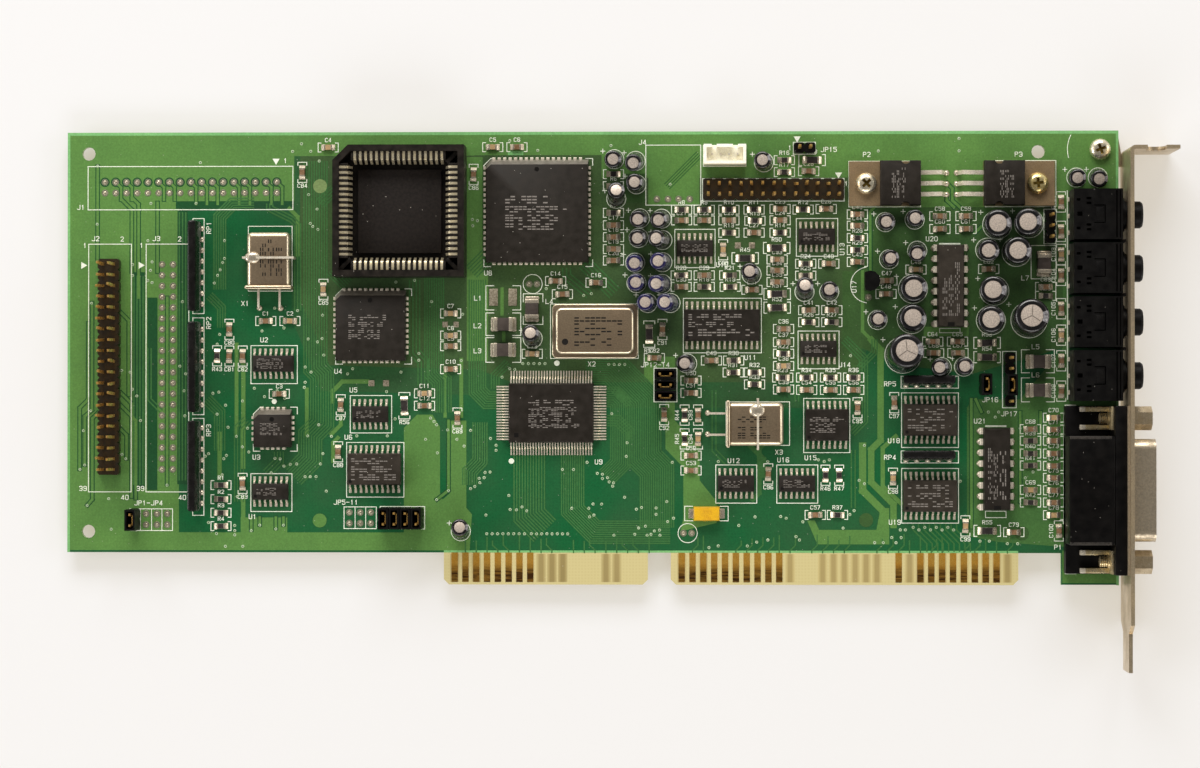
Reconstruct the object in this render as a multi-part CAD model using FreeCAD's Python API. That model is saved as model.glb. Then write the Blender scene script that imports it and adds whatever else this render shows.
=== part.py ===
import FreeCAD, Part
import math
import os

# Full-size sixteen-bit plug-in sound card, lying flat with its component side up. Sizes in millimetres.
# Working axes: u runs right from the board's left edge, v runs up from the edge where the contact tongue
# begins, and z runs up from the component face. The finished pieces are moved so that the origin is the
# bottom centre of the whole card's box.

# Board
BOARD_LENGTH = 247.0
BOARD_HEIGHT = 98.9
BOARD_THICKNESS = 1.6
TONGUE_DEPTH = 7.5
TONGUE_CORNER = 1.2
KEY_WIDTH = 5.4
EAR_LENGTH = 13.5
EAR_MARGIN = 2.75
TOOLING_HOLE = 3.2

# Edge contacts
CONTACT_PITCH = 2.54
CONTACT_WIDTH = 1.5
CONTACT_LENGTH = 6.9
CONTACT_FILM = 0.06
FIRST_CONTACT_SETBACK = 26.0
SECTION_STEP = 4

# Bracket
SHEET = 0.9
BRACKET_WIDTH = 18.42
BRACKET_OVERHANG = 2.0
BRACKET_GAP = 0.9
BRACKET_TOP_DROP = 4.5
BRACKET_LENGTH = 121.6
BRACKET_TAPER_START = 110.4
BRACKET_TAPER_LENGTH = 2.2
BRACKET_TONGUE_WIDTH = 10.5
FOOT_LENGTH = 11.43
FOOT_BEND = 1.2
NOTCH_WIDTH = 4.4
NOTCH_DEPTH = 6.0
TAB_WIDTH = 8.0
TAB_REACH = 9.4
TAB_CORNER = 1.4
TAB_SCREW_SETBACK = 5.2
TAB_SCREW_DROP = 4.4

# Screws and nuts
SCREW_HEAD = 5.0
SCREW_HEAD_HEIGHT = 2.0
SCREW_SHANK = 2.8
SCREW_HOLE = 3.2
NUT_ACROSS_FLATS = 5.5
NUT_HEIGHT = 1.7

# Audio jacks
FIRST_JACK_DROP = 20.1
JACK_PITCH = 12.45
JACK_WIDTH = 11.7
JACK_LENGTH = 11.3
JACK_HEIGHT = 11.0
JACK_AXIS_HEIGHT = 5.6
JACK_NOSE = 6.3
JACK_NOSE_LENGTH = 5.0
JACK_BORE = 3.6
JACK_BORE_DEPTH = 14.0
JACK_RIDGE = 0.8
PANEL_CLEARANCE = 0.4
JACK_CAN_GAP = 3.25
JACK_CAN_SETBACK = 5.7
JACK_CAN_PITCH = 5.0

# Game port
PORT_LENGTH = 39.1
PORT_JACK_GAP = 1.15
PORT_HEIGHT = 12.5
PORT_AXIS_HEIGHT = 6.6
PORT_DEPTH = 13.3
PORT_FLANGE = 2.8
PORT_BLOCK_GAP = 1.36
PORT_WING_HEIGHT = 4.0
SHELL_SHEET = 0.5
SHELL_WIDTH = 24.7
SHELL_HEIGHT = 8.3
SHELL_SLANT = 10.0
SHELL_CORNER = 2.4
SHELL_REACH = 5.5
SOCKET_HOLE = 1.3
SOCKET_PITCH = 2.76
SOCKET_ROW_GAP = 2.84
POST_SETBACK = 2.89
POST_ACROSS_FLATS = 4.8
POST_LENGTH = 4.9
POST_BORE = 2.8
POST_BORE_DEPTH = 4.4
CLIP_SHEET = 0.6
CLIP_WIDTH = 5.4
CLIP_LENGTH = 7.6
CLIP_HEIGHT = 6.2

# Headers and jumpers
PIN_PITCH = 2.54
DRIVE_WAYS = 20
FEATURE_WAYS = 13
FEATURE_HEADER_GAP = 1.19
PIN_SIZE = 0.64
BASE_HEIGHT = 2.5
DRIVE_PIN_TOP = 10.5
PIN_TOP = 8.6
CAP_LENGTH = 4.9
CAP_WIDTH = 2.4
CAP_WALL = 0.45
CAP_HEIGHT = 6.0

# Chip carrier socket
CARRIER_SIZE = 30.7
CARRIER_HEIGHT = 9.0
CARRIER_WALL = 1.5
CARRIER_FLOOR = 3.0
CARRIER_CORNER = 3.6
BLADE_PITCH = 1.27
BLADE_WIDTH = 0.6
BLADE_LENGTH = 1.7
BLADE_TOP_DROP = 0.5

# Chips
SEAT_GAP = 0.2
SMALL_BODY_WIDTH = 3.9
SMALL_BODY_HEIGHT = 1.5
LOGIC_BODY_LENGTH = 8.65
LONG_LOGIC_BODY_LENGTH = 9.9
WIDE_BODY_WIDTH = 7.5
WIDE_BODY_HEIGHT = 2.4
BUFFER_BODY_LENGTH = 12.8
CODEC_BODY_LENGTH = 17.9
CONVERTER_BODY_LENGTH = 10.3
BODY_DRAFT = 0.25
CARRIER_68_BODY = 24.2
CARRIER_44_BODY = 16.6
CARRIER_20_BODY = 9.0
CARRIER_BODY_HEIGHT = 4.2
FLAT_PACK_LENGTH = 20.0
FLAT_PACK_WIDTH = 14.0
FLAT_PACK_HEIGHT = 2.7
DIP_LENGTH = 19.3
DIP_WIDTH = 6.4
DIP_HEIGHT = 3.3
DIP_STANDOFF = 0.9
DIP_ROW_SPACING = 7.62
DIP_LEAD_WIDTH = 1.4
DIP_LEAD_SHEET = 0.3

# Regulators and transistor
TAB_PLATE = 1.3
REGULATOR_WIDTH = 10.4
REGULATOR_LENGTH = 16.6
REGULATOR_BODY_LENGTH = 9.4
REGULATOR_HEIGHT = 4.5
REGULATOR_HOLE_SETBACK = 4.0
REGULATOR_LEAD_WIDTH = 1.0
REGULATOR_LEAD_SHEET = 0.5
REGULATOR_LEAD_REACH = 6.2
REGULATOR_LEAD_RISE = 1.2
REGULATOR_LEAD_DROP = 1.2
TRANSISTOR_WIDTH = 4.7
TRANSISTOR_FLAT = 1.2
TRANSISTOR_HEIGHT = 4.8
TRANSISTOR_STANDOFF = 1.6
WIRE = 0.5

# Capacitors, networks, inductors, crystals
SMALL_CAN = 4.0
SMALL_CAN_HEIGHT = 7.0
SHORT_CAN = 5.0
SHORT_CAN_HEIGHT = 8.0
MEDIUM_CAN = 6.3
MEDIUM_CAN_HEIGHT = 9.0
LARGE_CAN = 8.0
LARGE_CAN_HEIGHT = 11.0
INDUCTOR_LENGTH = 4.5
INDUCTOR_WIDTH = 3.2
INDUCTOR_HEIGHT = 3.0
TANTALUM_LENGTH = 6.2
TANTALUM_WIDTH = 3.4
TANTALUM_HEIGHT = 2.6
NETWORK_LENGTH = 21.4
SHORT_NETWORK_LENGTH = 12.4
NETWORK_THICKNESS = 2.4
NETWORK_HEIGHT = 6.2
CRYSTAL_LENGTH = 13.4
CRYSTAL_WIDTH = 10.2
CRYSTAL_THICKNESS = 3.8
CRYSTAL_ROUND = 1.7
CRYSTAL_FLANGE = 0.45
CRYSTAL_STRAP_SETBACK = 7.4
CRYSTAL_LEAD_SPACING = 5.0
CRYSTAL_LEAD_REACH = 4.2
OSCILLATOR_LENGTH = 20.2
OSCILLATOR_WIDTH = 12.8
OSCILLATOR_HEIGHT = 5.1
OSCILLATOR_FLANGE = 0.9
OSCILLATOR_CORNER = 1.6

# Audio socket
WHITE_SOCKET_LENGTH = 9.9
WHITE_SOCKET_WIDTH = 4.6
WHITE_SOCKET_HEIGHT = 6.0
WHITE_SOCKET_WALL = 0.7
WHITE_SOCKET_FLOOR = 1.6
WHITE_SOCKET_SLOT = 1.2
WHITE_PIN_HEIGHT = 3.5
WHITE_PIN_PITCH = 2.0

# Round forms that repeat, such as cans and screws, are drawn with flats: about this wide, at least so many.
FACET_WIDTH = 1.3
FEWEST_FACETS = 12

# Places on the board are read on a grid of 247 by 98.9 steps, each 1 mm on the real card.
STEP_U = BOARD_LENGTH / 247.0
STEP_V = BOARD_HEIGHT / 98.9

# Values that follow from the sizes above
BRACKET_U = BOARD_LENGTH + BRACKET_GAP
BRACKET_OUT = BRACKET_U + SHEET
BRACKET_TOP = BOARD_HEIGHT - BRACKET_TOP_DROP
BRACKET_END = BRACKET_TOP - BRACKET_LENGTH
BRACKET_LOW = -BOARD_THICKNESS - BRACKET_OVERHANG
BRACKET_HIGH = BRACKET_LOW + BRACKET_WIDTH
FOOT_TIP = BRACKET_U + FOOT_LENGTH
JACK_FRONT = BRACKET_U - JACK_RIDGE - PANEL_CLEARANCE
FIRST_JACK = BOARD_HEIGHT - FIRST_JACK_DROP
LAST_JACK = FIRST_JACK - 3 * JACK_PITCH
PORT_CENTRE = LAST_JACK - JACK_WIDTH / 2 - PORT_JACK_GAP - PORT_LENGTH / 2
POST_SPACING = PORT_LENGTH - 2 * POST_SETBACK
PORT_BLOCK_WIDTH = POST_SPACING - CLIP_WIDTH - 2 * PORT_BLOCK_GAP
EAR_DEPTH = PORT_LENGTH / 2 - PORT_CENTRE + EAR_MARGIN
MOVE = FreeCAD.Vector(-FOOT_TIP / 2, -(BOARD_HEIGHT + BRACKET_END) / 2, -BRACKET_LOW)


def vec(u, v, z=0.0):
    return FreeCAD.Vector(u, v, z)


def at(u, v):
    """A place of the layout grid in millimetres."""
    return u * STEP_U, v * STEP_V


def column(u, rows):
    return [(u, v) for v in rows]


def save(node, solids):
    """Move one node's solids into the card's own frame and write them."""
    shape = solids[0] if len(solids) == 1 else Part.makeCompound(solids)
    shape.translate(MOVE)
    shape.exportStep("parts/" + node + ".step")


def block(u, v, z, du, dv, dz):
    """A box centred at (u, v), standing on z."""
    return Part.makeBox(du, dv, dz, vec(u - du / 2, v - dv / 2, z))


def outline_wire(corners):
    """A closed outline through (x, y, size) corners: an arc of that radius where the size is above zero,
    a corner cut off by that much where it is below zero, and a sharp corner at zero."""
    stretches = []
    for here, before, after in zip(corners, corners[-1:] + corners[:-1], corners[1:] + corners[:1]):
        point = vec(here[0], here[1])
        back = (vec(before[0], before[1]) - point).normalize()
        ahead = (vec(after[0], after[1]) - point).normalize()
        if here[2] <= 0:
            stretches.append((point - back * here[2], None, point - ahead * here[2]))
            continue
        half = back.getAngle(ahead) / 2
        run = here[2] / math.tan(half)
        middle = (back + ahead).normalize()
        crown = point + middle * (here[2] / math.sin(half) - here[2])
        stretches.append((point + back * run, crown, point + ahead * run))
    edges = []
    for (start, crown, end), following in zip(stretches, stretches[1:] + stretches[:1]):
        if crown is not None:
            edges.append(Part.Arc(start, crown, end).toShape())
        elif (end - start).Length > 1e-6:
            edges.append(Part.makeLine(start, end))
        if (following[0] - end).Length > 1e-6:
            edges.append(Part.makeLine(end, following[0]))
    return Part.Wire(edges)


def prism(corners, z, height):
    shape = Part.Face(outline_wire(corners)).extrude(vec(0, 0, height))
    shape.translate(vec(0, 0, z))
    return shape


def rectangle(u, v, du, dv, radius=0.0):
    return [
        (u - du / 2, v - dv / 2, radius),
        (u + du / 2, v - dv / 2, radius),
        (u + du / 2, v + dv / 2, radius),
        (u - du / 2, v + dv / 2, radius),
    ]


def facing_right(shape):
    """Turn a shape drawn in the plane of the bracket: its x, y and z become v, z and u."""
    shape.rotate(vec(0, 0), FreeCAD.Vector(1, 1, 1), 120)
    return shape


def along_u(corners, v, width):
    """A strip whose profile is drawn as (u, z) corners, centred on v."""
    shape = Part.Face(outline_wire(corners)).extrude(vec(0, 0, width))
    shape.rotate(vec(0, 0), FreeCAD.Vector(1, 0, 0), 90)
    shape.translate(vec(0, v + width / 2))
    return shape


def along_v(corners, u, width):
    """A strip whose profile is drawn as (v, z) corners, centred on u."""
    shape = facing_right(Part.Face(outline_wire(corners)).extrude(vec(0, 0, width)))
    shape.translate(vec(u - width / 2, 0))
    return shape


def rod(u, v, z, diameter, height):
    return Part.makeCylinder(diameter / 2, height, vec(u, v, z))


def polygon(diameter, sides):
    """The corners of a regular polygon in a circle about the origin."""
    turns = [2 * math.pi * step / sides for step in range(sides)]
    return [(diameter / 2 * math.cos(turn), diameter / 2 * math.sin(turn), 0.0) for turn in turns]


def hexagon(across_flats):
    return polygon(across_flats * 2 / math.sqrt(3), 6)


def faceted_rod(u, v, z, diameter, height):
    """An upright round bar drawn with flats."""
    sides = max(FEWEST_FACETS, round(math.pi * diameter / FACET_WIDTH))
    shape = prism(polygon(diameter, sides), z, height)
    shape.translate(vec(u, v))
    return shape


def nose(v, z, u, diameter, length):
    """A round bar that points to the right."""
    return Part.makeCylinder(diameter / 2, length, vec(u, v, z), FreeCAD.Vector(1, 0, 0))


def frustum(u, v, z, du, dv, dz, low_inset, high_inset):
    """A block whose foot and head are drawn in by the two insets."""
    low_u = du / 2 - low_inset
    low_v = dv / 2 - low_inset
    high_u = du / 2 - high_inset
    high_v = dv / 2 - high_inset
    shape = Part.makeWedge(-low_u, 0, -low_v, -high_v, -high_u, low_u, dz, low_v, high_v, high_u)
    shape.rotate(vec(0, 0), FreeCAD.Vector(1, 0, 0), 90)
    shape.translate(vec(u, v, z))
    return shape


def moulded_body(u, v, z, du, dv, dz):
    """A chip's moulded body: two drafted halves that meet at the parting line."""
    lower = frustum(u, v, z, du, dv, dz / 2, BODY_DRAFT, 0.0)
    upper = frustum(u, v, z + dz / 2, du, dv, dz / 2, 0.0, BODY_DRAFT)
    return lower.fuse(upper).removeSplitter()


SCREW_PLACES = {
    "bracket": (BRACKET_U - TAB_SCREW_SETBACK, BOARD_HEIGHT - TAB_SCREW_DROP),
    "left": at(188.0, 86.5),
    "right": at(228.0, 86.5),
}


def circuit_board():
    """Fibreglass board with the contact tongue, its key gap, the ear under the port, and its holes."""
    first_contact = BOARD_LENGTH - FIRST_CONTACT_SETBACK
    tongue_right = first_contact + CONTACT_PITCH
    key_right = first_contact - 31 * CONTACT_PITCH
    key_left = key_right - KEY_WIDTH
    tongue_left = first_contact - 52 * CONTACT_PITCH
    outline = [
        (0, 0, 0.0),
        (tongue_left, 0, 0.0),
        (tongue_left, -TONGUE_DEPTH, -TONGUE_CORNER),
        (key_left, -TONGUE_DEPTH, -TONGUE_CORNER),
        (key_left, 0, 0.0),
        (key_right, 0, 0.0),
        (key_right, -TONGUE_DEPTH, -TONGUE_CORNER),
        (tongue_right, -TONGUE_DEPTH, -TONGUE_CORNER),
        (tongue_right, 0, 0.0),
        (BOARD_LENGTH - EAR_LENGTH, 0, 0.0),
        (BOARD_LENGTH - EAR_LENGTH, -EAR_DEPTH, 0.0),
        (BOARD_LENGTH, -EAR_DEPTH, 0.0),
        (BOARD_LENGTH, BOARD_HEIGHT, 0.0),
        (0, BOARD_HEIGHT, 0.0),
    ]
    board = prism(outline, -BOARD_THICKNESS, BOARD_THICKNESS)
    drills = []
    for place in ((5.0, 93.9), (5.0, 4.9), (228.3, 94.0), (228.5, 5.2)):
        u, v = at(*place)
        drills.append(faceted_rod(u, v, -BOARD_THICKNESS, TOOLING_HOLE, BOARD_THICKNESS))
    for u, v in SCREW_PLACES.values():
        drills.append(faceted_rod(u, v, -BOARD_THICKNESS, SCREW_HOLE, BOARD_THICKNESS))
    save("circuit_board", [board.cut(drills)])


def edge_contacts():
    """Gold films on the component face of the tongue, at the positions that this card uses."""
    first = BOARD_LENGTH - FIRST_CONTACT_SETBACK
    second_section = 30 + SECTION_STEP
    fitted = list(range(1, 9)) + [10] + list(range(21, 31))
    fitted += [second_section + step for step in range(10, 18)]
    films = []
    for step in fitted:
        place = first - step * CONTACT_PITCH
        films.append(block(place, -CONTACT_LENGTH / 2, 0, CONTACT_WIDTH, CONTACT_LENGTH, CONTACT_FILM))
    save("edge_contacts", films)


def shell_outline(grow, centre_v, centre_z):
    """The D outline of the port's nose in (v, z), its wide side away from the board."""
    width = SHELL_WIDTH + 2 * grow
    height = SHELL_HEIGHT + 2 * grow
    lean = height * math.tan(math.radians(SHELL_SLANT))
    radius = SHELL_CORNER + grow
    return [
        (centre_v - width / 2 + lean, centre_z - height / 2, radius),
        (centre_v + width / 2 - lean, centre_z - height / 2, radius),
        (centre_v + width / 2, centre_z + height / 2, radius),
        (centre_v - width / 2, centre_z + height / 2, radius),
    ]


def jack_places():
    return [FIRST_JACK - index * JACK_PITCH for index in range(4)]


def mounting_bracket():
    """One folded sheet: slotted plate with its tapered tongue, the notched foot and the board tab."""
    middle = (BRACKET_LOW + BRACKET_HIGH) / 2
    taper_v = BRACKET_TOP - BRACKET_TAPER_START
    taper_end = taper_v - BRACKET_TAPER_LENGTH
    tongue_low = middle - BRACKET_TONGUE_WIDTH / 2
    tongue_high = middle + BRACKET_TONGUE_WIDTH / 2
    outline = [
        (BRACKET_TOP, BRACKET_LOW, 0.0),
        (BRACKET_TOP, BRACKET_HIGH, 0.0),
        (taper_v, BRACKET_HIGH, 0.0),
        (taper_end, tongue_high, 0.0),
        (BRACKET_END, tongue_high, 0.0),
        (BRACKET_END, tongue_low, 0.0),
        (taper_end, tongue_low, 0.0),
        (taper_v, BRACKET_LOW, 0.0),
    ]
    cuts = [prism(shell_outline(PANEL_CLEARANCE, PORT_CENTRE, PORT_AXIS_HEIGHT), 0, SHEET)]
    for v in jack_places():
        cuts.append(faceted_rod(v, JACK_AXIS_HEIGHT, 0, JACK_NOSE + 2 * PANEL_CLEARANCE, SHEET))
    plate = facing_right(prism(outline, 0, SHEET).cut(cuts))
    plate.translate(vec(BRACKET_U, 0))
    foot_profile = [
        (BRACKET_U, BRACKET_TOP - FOOT_BEND, 0.0),
        (BRACKET_U, BRACKET_TOP, FOOT_BEND),
        (FOOT_TIP, BRACKET_TOP, 0.0),
        (FOOT_TIP, BRACKET_TOP - SHEET, 0.0),
        (BRACKET_OUT, BRACKET_TOP - SHEET, FOOT_BEND - SHEET),
        (BRACKET_OUT, BRACKET_TOP - FOOT_BEND, 0.0),
    ]
    square_top = block(BRACKET_U, BRACKET_TOP, BRACKET_LOW, 2 * SHEET, 2 * FOOT_BEND, BRACKET_WIDTH)
    foot = prism(foot_profile, BRACKET_LOW, BRACKET_WIDTH)
    notch_u = (BRACKET_OUT + FOOT_TIP) / 2
    notch_end = BRACKET_HIGH - NOTCH_DEPTH + NOTCH_WIDTH / 2
    slot_depth = BRACKET_HIGH - notch_end
    slot = block(notch_u, BRACKET_TOP, notch_end, NOTCH_WIDTH, 4 * SHEET, slot_depth)
    slot_end = Part.makeCylinder(
        NOTCH_WIDTH / 2, 4 * SHEET, vec(notch_u, BRACKET_TOP - 2 * SHEET, notch_end), FreeCAD.Vector(0, 1, 0)
    )
    screw_u, screw_v = SCREW_PLACES["bracket"]
    tab_low = screw_v - TAB_WIDTH / 2
    tab_outline = [
        (BRACKET_U - TAB_REACH, tab_low, -TAB_CORNER),
        (BRACKET_OUT, tab_low, 0.0),
        (BRACKET_OUT, BRACKET_TOP - FOOT_BEND, 0.0),
        (BRACKET_U, BRACKET_TOP - FOOT_BEND, 0.0),
        (BRACKET_U - BRACKET_GAP, screw_v + TAB_WIDTH / 2, 0.0),
        (BRACKET_U - TAB_REACH, screw_v + TAB_WIDTH / 2, -TAB_CORNER),
    ]
    tab = prism(tab_outline, -BOARD_THICKNESS - SHEET, SHEET)
    tab = tab.cut(faceted_rod(screw_u, screw_v, -BOARD_THICKNESS - SHEET, SCREW_HOLE, SHEET))
    bracket = plate.cut(square_top).fuse([foot.cut([slot, slot_end]), tab]).removeSplitter()
    save("mounting_bracket", [bracket])


def screw(place, seat, length):
    """A screw whose head sits on seat, with its shank below."""
    u, v = place
    head = faceted_rod(u, v, seat, SCREW_HEAD, SCREW_HEAD_HEIGHT)
    shank = faceted_rod(u, v, seat - length, SCREW_SHANK, length)
    return head.fuse(shank)


def screws():
    """Three screws: one through the bracket's tab, one through each regulator's plate."""
    under = BOARD_THICKNESS + SHEET
    fitted = [screw(SCREW_PLACES["bracket"], 0, under)]
    for side in ("left", "right"):
        fitted.append(screw(SCREW_PLACES[side], TAB_PLATE, TAB_PLATE + BOARD_THICKNESS + NUT_HEIGHT))
    save("pan_screws", fitted)


def regulator_nuts():
    nuts = []
    for side in ("left", "right"):
        u, v = SCREW_PLACES[side]
        nut = prism(hexagon(NUT_ACROSS_FLATS), 0, NUT_HEIGHT)
        nut = nut.cut(faceted_rod(0, 0, 0, SCREW_HOLE, NUT_HEIGHT))
        nut.translate(vec(u, v, -BOARD_THICKNESS - NUT_HEIGHT))
        nuts.append(nut)
    save("regulator_nuts", nuts)


def audio_jacks():
    """Four moulded jack blocks with a stepped front and a round nose through the bracket."""
    rear = JACK_FRONT - JACK_LENGTH
    for number, v in enumerate(jack_places(), 1):
        body_profile = [
            (rear, 0, 0.0),
            (JACK_FRONT, 0, 0.0),
            (JACK_FRONT, JACK_HEIGHT, 0.0),
            (rear + JACK_RIDGE, JACK_HEIGHT, 0.0),
            (rear, JACK_HEIGHT - JACK_RIDGE, 0.0),
        ]
        body = along_u(body_profile, v, JACK_WIDTH)
        collar_width = JACK_NOSE + 2 * JACK_RIDGE
        collar_low = JACK_AXIS_HEIGHT - collar_width / 2
        collar = block(JACK_FRONT + JACK_RIDGE / 2, v, collar_low, JACK_RIDGE, collar_width, collar_width)
        tip = nose(v, JACK_AXIS_HEIGHT, JACK_FRONT, JACK_NOSE, JACK_NOSE_LENGTH)
        mouth = JACK_FRONT + JACK_NOSE_LENGTH
        bore = nose(v, JACK_AXIS_HEIGHT, mouth - JACK_BORE_DEPTH, JACK_BORE, JACK_BORE_DEPTH)
        save("audio_jack_%d" % number, [body.fuse([collar, tip]).cut(bore).removeSplitter()])


def game_port():
    """Fifteen-way port: moulded housing, drawn shell, contact block, hexagonal posts and board clips."""
    shell_back = BRACKET_U - SHELL_SHEET
    flange_back = shell_back - PORT_FLANGE
    rear = shell_back - PORT_DEPTH
    low = PORT_AXIS_HEIGHT - PORT_HEIGHT / 2
    block_depth = flange_back - rear
    block_u = (rear + flange_back) / 2
    centre_block = block(block_u, PORT_CENTRE, 0, block_depth, PORT_BLOCK_WIDTH, low + PORT_HEIGHT)
    wings = block(block_u, PORT_CENTRE, 0, block_depth, PORT_LENGTH, PORT_WING_HEIGHT)
    flange = block(flange_back + PORT_FLANGE / 2, PORT_CENTRE, low, PORT_FLANGE, PORT_LENGTH, PORT_HEIGHT)
    save("game_port_housing", [centre_block.fuse([wings, flange]).removeSplitter()])

    reach = SHELL_SHEET + SHEET + SHELL_REACH
    plate = prism(rectangle(PORT_CENTRE, PORT_AXIS_HEIGHT, PORT_LENGTH, PORT_HEIGHT), 0, SHELL_SHEET)
    sleeve = prism(shell_outline(0, PORT_CENTRE, PORT_AXIS_HEIGHT), 0, reach)
    inside = prism(shell_outline(-SHELL_SHEET, PORT_CENTRE, PORT_AXIS_HEIGHT), 0, reach)
    shell = facing_right(plate.fuse(sleeve).cut(inside).removeSplitter())
    shell.translate(vec(shell_back, 0))
    save("game_port_shell", [shell])

    inset = -SHELL_SHEET - SEAT_GAP / 2
    core = prism(shell_outline(inset, PORT_CENTRE, PORT_AXIS_HEIGHT), 0, reach - SHELL_SHEET)
    ways = []
    for count, side in ((8, 1), (7, -1)):
        z = PORT_AXIS_HEIGHT + side * SOCKET_ROW_GAP / 2
        for index in range(count):
            v = PORT_CENTRE + (index - (count - 1) / 2) * SOCKET_PITCH
            way = prism(hexagon(SOCKET_HOLE), reach - SHELL_SHEET - SHELL_REACH, SHELL_REACH)
            way.translate(vec(v, z))
            ways.append(way)
    core = facing_right(core.cut(ways))
    core.translate(vec(shell_back, 0))
    save("game_port_insulator", [core])

    posts = []
    clips = []
    for side in (-1, 1):
        v = PORT_CENTRE + side * POST_SPACING / 2
        post = prism(hexagon(POST_ACROSS_FLATS), 0, POST_LENGTH)
        post = post.cut(rod(0, 0, POST_LENGTH - POST_BORE_DEPTH, POST_BORE, POST_BORE_DEPTH))
        post = facing_right(post)
        post.translate(vec(BRACKET_OUT, v, PORT_AXIS_HEIGHT))
        posts.append(post)
        clips.append(board_clip(flange_back, v))
    save("jack_posts", posts)
    save("board_clips", clips)


def board_clip(flange_back, v):
    """A sheet clip on the wing: an upright leaf against the flange and two prongs along the wing."""
    leaf = block(flange_back - CLIP_SHEET / 2, v, PORT_WING_HEIGHT, CLIP_SHEET, CLIP_WIDTH, CLIP_HEIGHT)
    prong_u = flange_back - CLIP_LENGTH / 2
    prong_size = 2 * CLIP_SHEET
    prongs = []
    for side in (-1, 1):
        prong_v = v + side * (CLIP_WIDTH - prong_size) / 2
        prongs.append(block(prong_u, prong_v, PORT_WING_HEIGHT, CLIP_LENGTH, prong_size, prong_size))
    return leaf.fuse(prongs).removeSplitter()


def pin(u, v, top):
    return block(u, v, BASE_HEIGHT, PIN_SIZE, PIN_SIZE, top - BASE_HEIGHT)


def two_row_header(node, u, v, ways, along, pin_top):
    """A plain base with two rows of square pins, running along u or v."""
    length = ways * PIN_PITCH
    width = 2 * PIN_PITCH
    size_u, size_v = (length, width) if along == "u" else (width, length)
    save(node + "_base", [block(u, v, 0, size_u, size_v, BASE_HEIGHT)])
    pins = []
    for index in range(ways):
        step = (index - (ways - 1) / 2) * PIN_PITCH
        for side in (-PIN_PITCH / 2, PIN_PITCH / 2):
            pin_u, pin_v = (u + step, v + side) if along == "u" else (u + side, v + step)
            pins.append(pin(pin_u, pin_v, pin_top))
    save(node + "_pins", pins)


def headers():
    """A forty-pin header at the left for a disc drive, and a shorter one beside the left regulator."""
    u, v = at(10.07, 43.65)
    two_row_header("drive_header", u, v, DRIVE_WAYS, "v", DRIVE_PIN_TOP)
    regulator_tip = SCREW_PLACES["left"][0] - REGULATOR_HOLE_SETBACK
    u = regulator_tip - FEATURE_HEADER_GAP - FEATURE_WAYS * PIN_PITCH / 2
    v = at(u, 85.15)[1]
    two_row_header("feature_header", u, v, FEATURE_WAYS, "u", PIN_TOP)


def jumpers():
    """Pin strips for settings, most of them with a bridging cap pushed on."""
    strips = (
        # u, v, pins, direction, positions of the caps along the pins
        (16.1, 7.77, 2, "v", (0.5,)),
        (75.3, 8.13, 2, "v", (0.5,)),
        (77.85, 8.13, 2, "v", (0.5,)),
        (80.4, 8.13, 2, "v", (0.5,)),
        (82.95, 8.13, 2, "v", (0.5,)),
        (141.0, 41.9, 2, "u", (0.5,)),
        (141.0, 39.35, 2, "u", (0.5,)),
        (141.0, 36.8, 2, "u", (0.5,)),
        (173.6, 94.9, 2, "u", ()),
        (215.6, 39.5, 2, "v", (0.5,)),
        (221.5, 40.6, 5, "v", (1.5,)),
        (230.95, 76.45, 3, "v", ()),
    )
    bases = []
    pins = []
    caps = []
    for grid_u, grid_v, count, direction, cap_positions in strips:
        u, v = at(grid_u, grid_v)
        step_u, step_v = (PIN_PITCH, 0) if direction == "u" else (0, PIN_PITCH)
        length = count * PIN_PITCH
        size_u, size_v = (length, CAP_WIDTH) if direction == "u" else (CAP_WIDTH, length)
        bases.append(block(u, v, 0, size_u, size_v, BASE_HEIGHT))
        for index in range(count):
            offset = index - (count - 1) / 2
            pins.append(pin(u + offset * step_u, v + offset * step_v, PIN_TOP))
        for position in cap_positions:
            offset = position - (count - 1) / 2
            centre_u = u + offset * step_u
            centre_v = v + offset * step_v
            cap_u, cap_v = (CAP_LENGTH, CAP_WIDTH) if direction == "u" else (CAP_WIDTH, CAP_LENGTH)
            outer = block(centre_u, centre_v, BASE_HEIGHT, cap_u, cap_v, CAP_HEIGHT)
            hole_u = cap_u - 2 * CAP_WALL
            hole_v = cap_v - 2 * CAP_WALL
            inner = block(centre_u, centre_v, BASE_HEIGHT, hole_u, hole_v, CAP_HEIGHT)
            caps.append(outer.cut(inner))
    save("jumper_bases", bases)
    save("jumper_pins", pins)
    save("jumper_caps", caps)


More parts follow.
